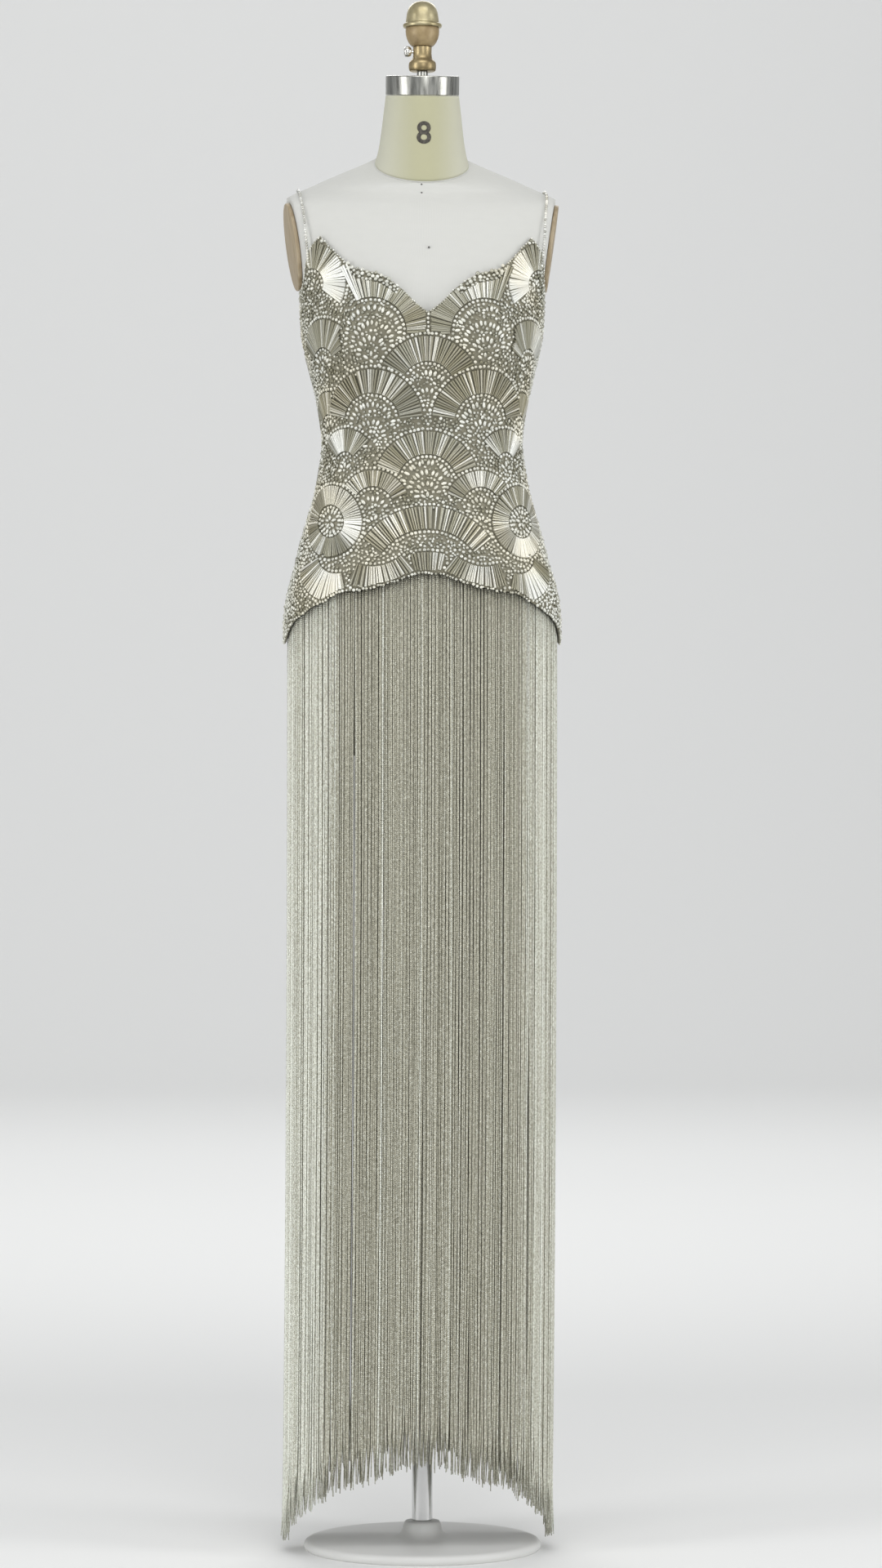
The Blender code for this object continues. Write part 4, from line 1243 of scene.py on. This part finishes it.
strap_route = []
for height, x in ((1566, 137.0), (1574, 138.2), (1582, 139.2), (1592, 140.6), (1604, 142.6), (1618, 144.8),
                  (1632, 147.0), (1644, 149.0), (1651, 150.0), (1655, 150.5), (1657.5, 150.8)):
    strap_route.append(strap_point(height, x, False))
shoulder_top = next(h / 4 for h in range(6600, 6680) if smooth_row(BODY_ROWS, h / 4)["half_width"] < 151.0)
off_shoulder = surface_normal(shoulder_top, 0.0) * (STRAP_REST + STRAP_RADIUS)
strap_route.append(body_point(shoulder_top, 0.0) + off_shoulder)
for height, x in ((1658, 150.4), (1656, 149.6), (1652, 148.0), (1646, 146.0), (1634, 142.5), (1618, 137.5),
                  (1600, 132.0), (1580, 126.0), (1560, 120.0), (1540, 114.0), (1524, 109.0), (1512, 105.0),
                  (1500, 101.0)):
    strap_route.append(strap_point(height, x, True))
strap_glass = glass_finish("strap_glass", (0.30, 0.29, 0.24), (0.92, 0.91, 0.86), 0.2, 0.7)
bpy.ops.mesh.primitive_uv_sphere_add(segments=10, ring_count=6, radius=1.0)
strap_bead = bpy.context.object
for name, side in (("strap_left", 1), ("strap_right", -1)):
    route = [Vector((p.x * side, p.y, p.z)) for p in strap_route]
    walked = [0.0]
    for a, b in zip(route, route[1:]):
        walked.append(walked[-1] + (b - a).length)
    places = []
    for k in range(int(walked[-1] / STRAP_PITCH) + 1):
        target = k * STRAP_PITCH
        index = max(i for i in range(len(route) - 1) if walked[i] <= target)
        share = (target - walked[index]) / (walked[index + 1] - walked[index])
        middle = route[index].lerp(route[index + 1], share)
        along = (route[index + 1] - route[index]).normalized()
        across = along.orthogonal().normalized()
        third = along.cross(across)
        radius = STRAP_BEAD_RADIUS * rng.uniform(0.93, 1.04)
        places.append((np.column_stack((across * radius, third * radius, along * radius * 0.9, middle)),
                       rng.uniform(0.35, 1.0)))
    strap = sew_all(name + "_beads", strap_bead, places, strap_glass)
    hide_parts(name)
for shape in (one_bead, one_bugle, strap_bead):
    bpy.data.objects.remove(shape)

# Fringe: strings of small silver beads, floor long, sewn side by side in two layers on a narrow tape inside
# the hem. The strings hang straight, part here and there, and end unevenly in an arch over the floor.
STRAND_LENGTH_FRONT = 1071.0
STRAND_LENGTH_SIDE = 1093.0
STRAND_PITCH = 2.15
STRAND_RADIUS = 1.07
STRAND_LEVELS = 22
STRAND_SIDES = 5
LAYER_DEPTH = 2.6
ABOVE_HEM = 9.0
ABOVE_FLOOR = 7.0
SPLAY_LENGTH = 70.0
HANG_ASIDE = 6.0
TAPE_LOW = 1.0
TAPE_HEIGHT = 12.0
TAPE_OUT = 2.2
hang_turns = np.radians(np.arange(0.0, 360.5, 0.5))
hang_oval = np.array([tuple(hang_point(0.0, t, FRINGE_HANG + 1.0)) for t in hang_turns])
hang_reach = np.concatenate([[0.0], np.cumsum(np.linalg.norm(np.diff(hang_oval, axis=0), axis=1))])
# Slits between the strings: where each lies along the front (share from the dress's right side), the height
# below which it opens, the height below which it closes again, and its width.
SLITS = (
    (0.795, 665.0, 205.0, 3.4), (0.71, 1060.0, 20.0, 1.5), (0.30, 1100.0, 20.0, 1.8),
    (0.17, 1100.0, 20.0, 1.6), (0.49, 620.0, 20.0, 1.9), (0.62, 330.0, 20.0, 2.6),
    (0.40, 420.0, 20.0, 1.4), (0.88, 400.0, 20.0, 1.5),
)


def make_strands(name, first, last, tape_node, seed):
    """All strings of one length of tape as one mesh."""
    dice = np.random.default_rng(seed)
    low = float(np.interp(math.radians(first), hang_turns, hang_reach))
    high = float(np.interp(math.radians(last), hang_turns, hang_reach))
    count = int((high - low - 2.0) / STRAND_PITCH)
    rings, shines = [], []
    clump = dice.uniform(-1.0, 1.0, count + 8)
    for layer in range(2):
        for k in range(count):
            reach = low + 1.0 + STRAND_PITCH * (k + 0.5 + 0.5 * layer)
            if reach > high - 1.0:
                continue
            turn = float(np.interp(reach, hang_reach, hang_turns))
            top = hem_height(turn) + ABOVE_HEM
            shorter = STRAND_LENGTH_FRONT - STRAND_LENGTH_SIDE
            length = STRAND_LENGTH_SIDE + shorter * abs(math.sin(turn)) ** 2
            uneven = dice.normal(0.0, 3.0) + 2.0 * math.sin(reach * 0.35)
            bottom = max(hem_height(turn) - length + uneven, ABOVE_FLOOR)
            depth = dice.uniform(-0.9, 0.9) - LAYER_DEPTH * layer
            sway = dice.uniform(0.0, 2 * math.pi, 3)
            end_turn = dice.normal(0.0, 1.6, 2)
            pull = clump[k // 7] * 0.35 + clump[(k + 3) // 5] * 0.3
            pair = 0.22 if (k + layer) % 2 else -0.22
            track = []
            for level in range(STRAND_LEVELS + 1):
                share = (level / STRAND_LEVELS) ** 0.9
                height = top + (bottom - top) * share
                drift = pair * (1.0 - 0.6 * share) + pull * share ** 1.5
                ripple = 0.16 * math.sin(23.0 * share + sway[1])
                drift += 0.3 * math.sin(6.0 * share + sway[0]) * share + ripple
                splay = max(1.0 - max((height - bottom) / SPLAY_LENGTH, 0.0), 0.0) ** 1.5
                drift += splay * (end_turn[0] * 1.5 + 1.4 * math.sin(height * 0.16 + sway[2]))
                if first == 0.0:
                    for where, opens, closes, width in SLITS:
                        away = reach - (low + (high - low) * (1.0 - where))
                        if closes < height < opens and abs(away) < 16.0:
                            fade = min((opens - height) / 120.0, (height - closes) / 60.0, 1.0)
                            drift += math.copysign(width / 2 * fade * (1.0 - abs(away) / 16.0), away)
                spot_turn = float(np.interp(reach + drift, hang_reach, hang_turns))
                lift = FRINGE_HANG - 0.4 + depth + splay * end_turn[1]
                middle = np.array(hang_point(height, spot_turn, lift))
                middle[0] -= HANG_ASIDE * share ** 2
                track.append((middle[0], share))
                radius = STRAND_RADIUS * (1.0 if level < STRAND_LEVELS else 0.55)
                for corner in range(STRAND_SIDES):
                    angle = 2 * math.pi * corner / STRAND_SIDES + sway[0]
                    rings.append(middle + radius * np.array((math.cos(angle), math.sin(angle), 0.0)))
            # Painted highlights: strings are made brighter towards the sides, where they face the light, and
            # a few all along.
            # Painted shade: the inner layer is made darker. All strings are a little lighter towards their
            # lower ends.
            own = dice.uniform(0.3, 0.46) - 0.08 * layer + (0.28 if dice.uniform() < 0.05 else 0.0)
            own_edge = dice.normal(0.0, 4.0)
            for x, share in track:
                edge = (100.0 + 20.0 * share if x < 0 else 113.0 + 4.0 * share) + own_edge
                strength = 1.0 if x < 0 else 1.0 - 0.55 * share
                painted_side_light = min(max((abs(x) - edge) / 14.0, 0.0), 1.0) * strength
                shines.append(min(max(own + 0.02 + 0.09 * share + 0.29 * painted_side_light, 0.0), 1.0))
    faces = []
    ring_count = STRAND_LEVELS + 1
    for strand in range(len(shines) // ring_count):
        root = strand * ring_count * STRAND_SIDES
        for level in range(STRAND_LEVELS):
            for corner in range(STRAND_SIDES):
                a = root + level * STRAND_SIDES + corner
                b = root + level * STRAND_SIDES + (corner + 1) % STRAND_SIDES
                faces.append((a, a + STRAND_SIDES, b + STRAND_SIDES, b))
        faces.append(tuple(root + corner for corner in range(STRAND_SIDES)))
        end = root + STRAND_LEVELS * STRAND_SIDES
        faces.append(tuple(end + corner for corner in reversed(range(STRAND_SIDES))))
    mesh = bpy.data.meshes.new(name)
    mesh.from_pydata(np.array(rings) * 0.001, [], faces)
    shine = mesh.attributes.new("shine", "FLOAT", "POINT")
    shine.data.foreach_set("value", np.repeat(shines, STRAND_SIDES).astype(np.float32))
    piece = bpy.data.objects.new(name, mesh)
    bpy.context.scene.collection.objects.link(piece)
    mesh.shade_smooth()
    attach(piece, "dressed_form")
    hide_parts(tape_node)
    return piece


strand_glass, nodes, links, shader = new_finish("fringe_beads", (0.6, 0.6, 0.52), 0.32, 0.45)
# The strings' shine holds their tone, painted highlights and the inner layer's painted shade; it picks their
# colour.
strand_tone_and_painted_light = new_node(nodes, "Attribute", attribute_name="shine")
bead_place = new_node(nodes, "TexCoord")
offset = new_node(nodes, "VectorMath", operation="ADD")
beading = new_node(nodes, "TexWave", {"Scale": 150.0, "Distortion": 0.4}, bands_direction="Z")
strand_bump = new_node(nodes, "Bump", {"Strength": 0.7, "Distance": 0.0006})
# Painted glints: a fine noise raises and lowers the shine in small specks before it picks the colour.
glint = new_node(nodes, "TexNoise", {"Scale": 420.0, "Detail": 2.0})
mixing = new_node(nodes, "Math", {1: 1.2, 2: -0.6}, operation="MULTIPLY_ADD")
total = new_node(nodes, "Math", operation="ADD")
strand_colour = shade_ramp(
    nodes, (0.0, (0.26, 0.25, 0.19)), (0.45, (0.50, 0.485, 0.39)), (1.0, (0.95, 0.97, 0.88))
)
wire_up(
    links, bead_place, "Object", 0, offset, "Vector", "Vector", beading, "Fac", "Height", strand_bump,
    "Normal", "Normal", shader,
)
wire_up(links, strand_tone_and_painted_light, "Fac", 1, offset)
wire_up(
    links, bead_place, "Object", "Vector", glint, "Fac", 0, mixing, 0, 0, total, 0, "Fac", strand_colour,
    "Color", "Base Color", shader,
)
wire_up(links, strand_tone_and_painted_light, "Fac", 1, total)

tape_cotton, nodes, links, shader = new_finish("fringe_tape", (0.32, 0.31, 0.25), 0.8)
weave_into(nodes, links, shader, 500.0, (0.34, 0.33, 0.27), (0.22, 0.21, 0.17), 0.0003)
for key, node, first, last, seed in (
    ("front", "fringe_front", 0.0, 180.0, 21),
    ("back_right", "fringe_back_right", 180.0, 270.0, 22),
    ("back_left", "fringe_back_left", 270.0, 360.0, 23),
):
    strands = make_strands(node + "_strings", first, last, node, seed)
    strands.data.materials.append(strand_glass)

    def tape_place(u, v, first=first, last=last):
        """A point of the tape, which lies between the strings' upper ends and the net."""
        turn = math.radians(first + 0.35 + (last - first - 0.7) * u)
        return hang_point(hem_height(turn) + TAPE_LOW + TAPE_HEIGHT * v, turn, FRINGE_HANG + TAPE_OUT)

    tape = wrap_sheet(node + "_tape", 90, 3, tape_place, closed=False)
    if tape.data.polygons[10].normal.dot(tape.data.polygons[10].center) < 0:
        tape.data.flip_normals()
    thicken(tape, "wall", 0.0006, 1.0)
    tape.data.materials.append(tape_cotton)
    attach(tape, "dressed_form")

# Cloth facts: each panel as it was cut flat, with the beads and the fringe that are sewn to it.
for node, key, flat in (
    ("bodice_front", "front", (0.47, 0.491)),
    ("bodice_back_left", "back_left", (0.236, 0.431)),
    ("bodice_back_right", "back_right", (0.236, 0.431)),
):
    panel = panels[node]
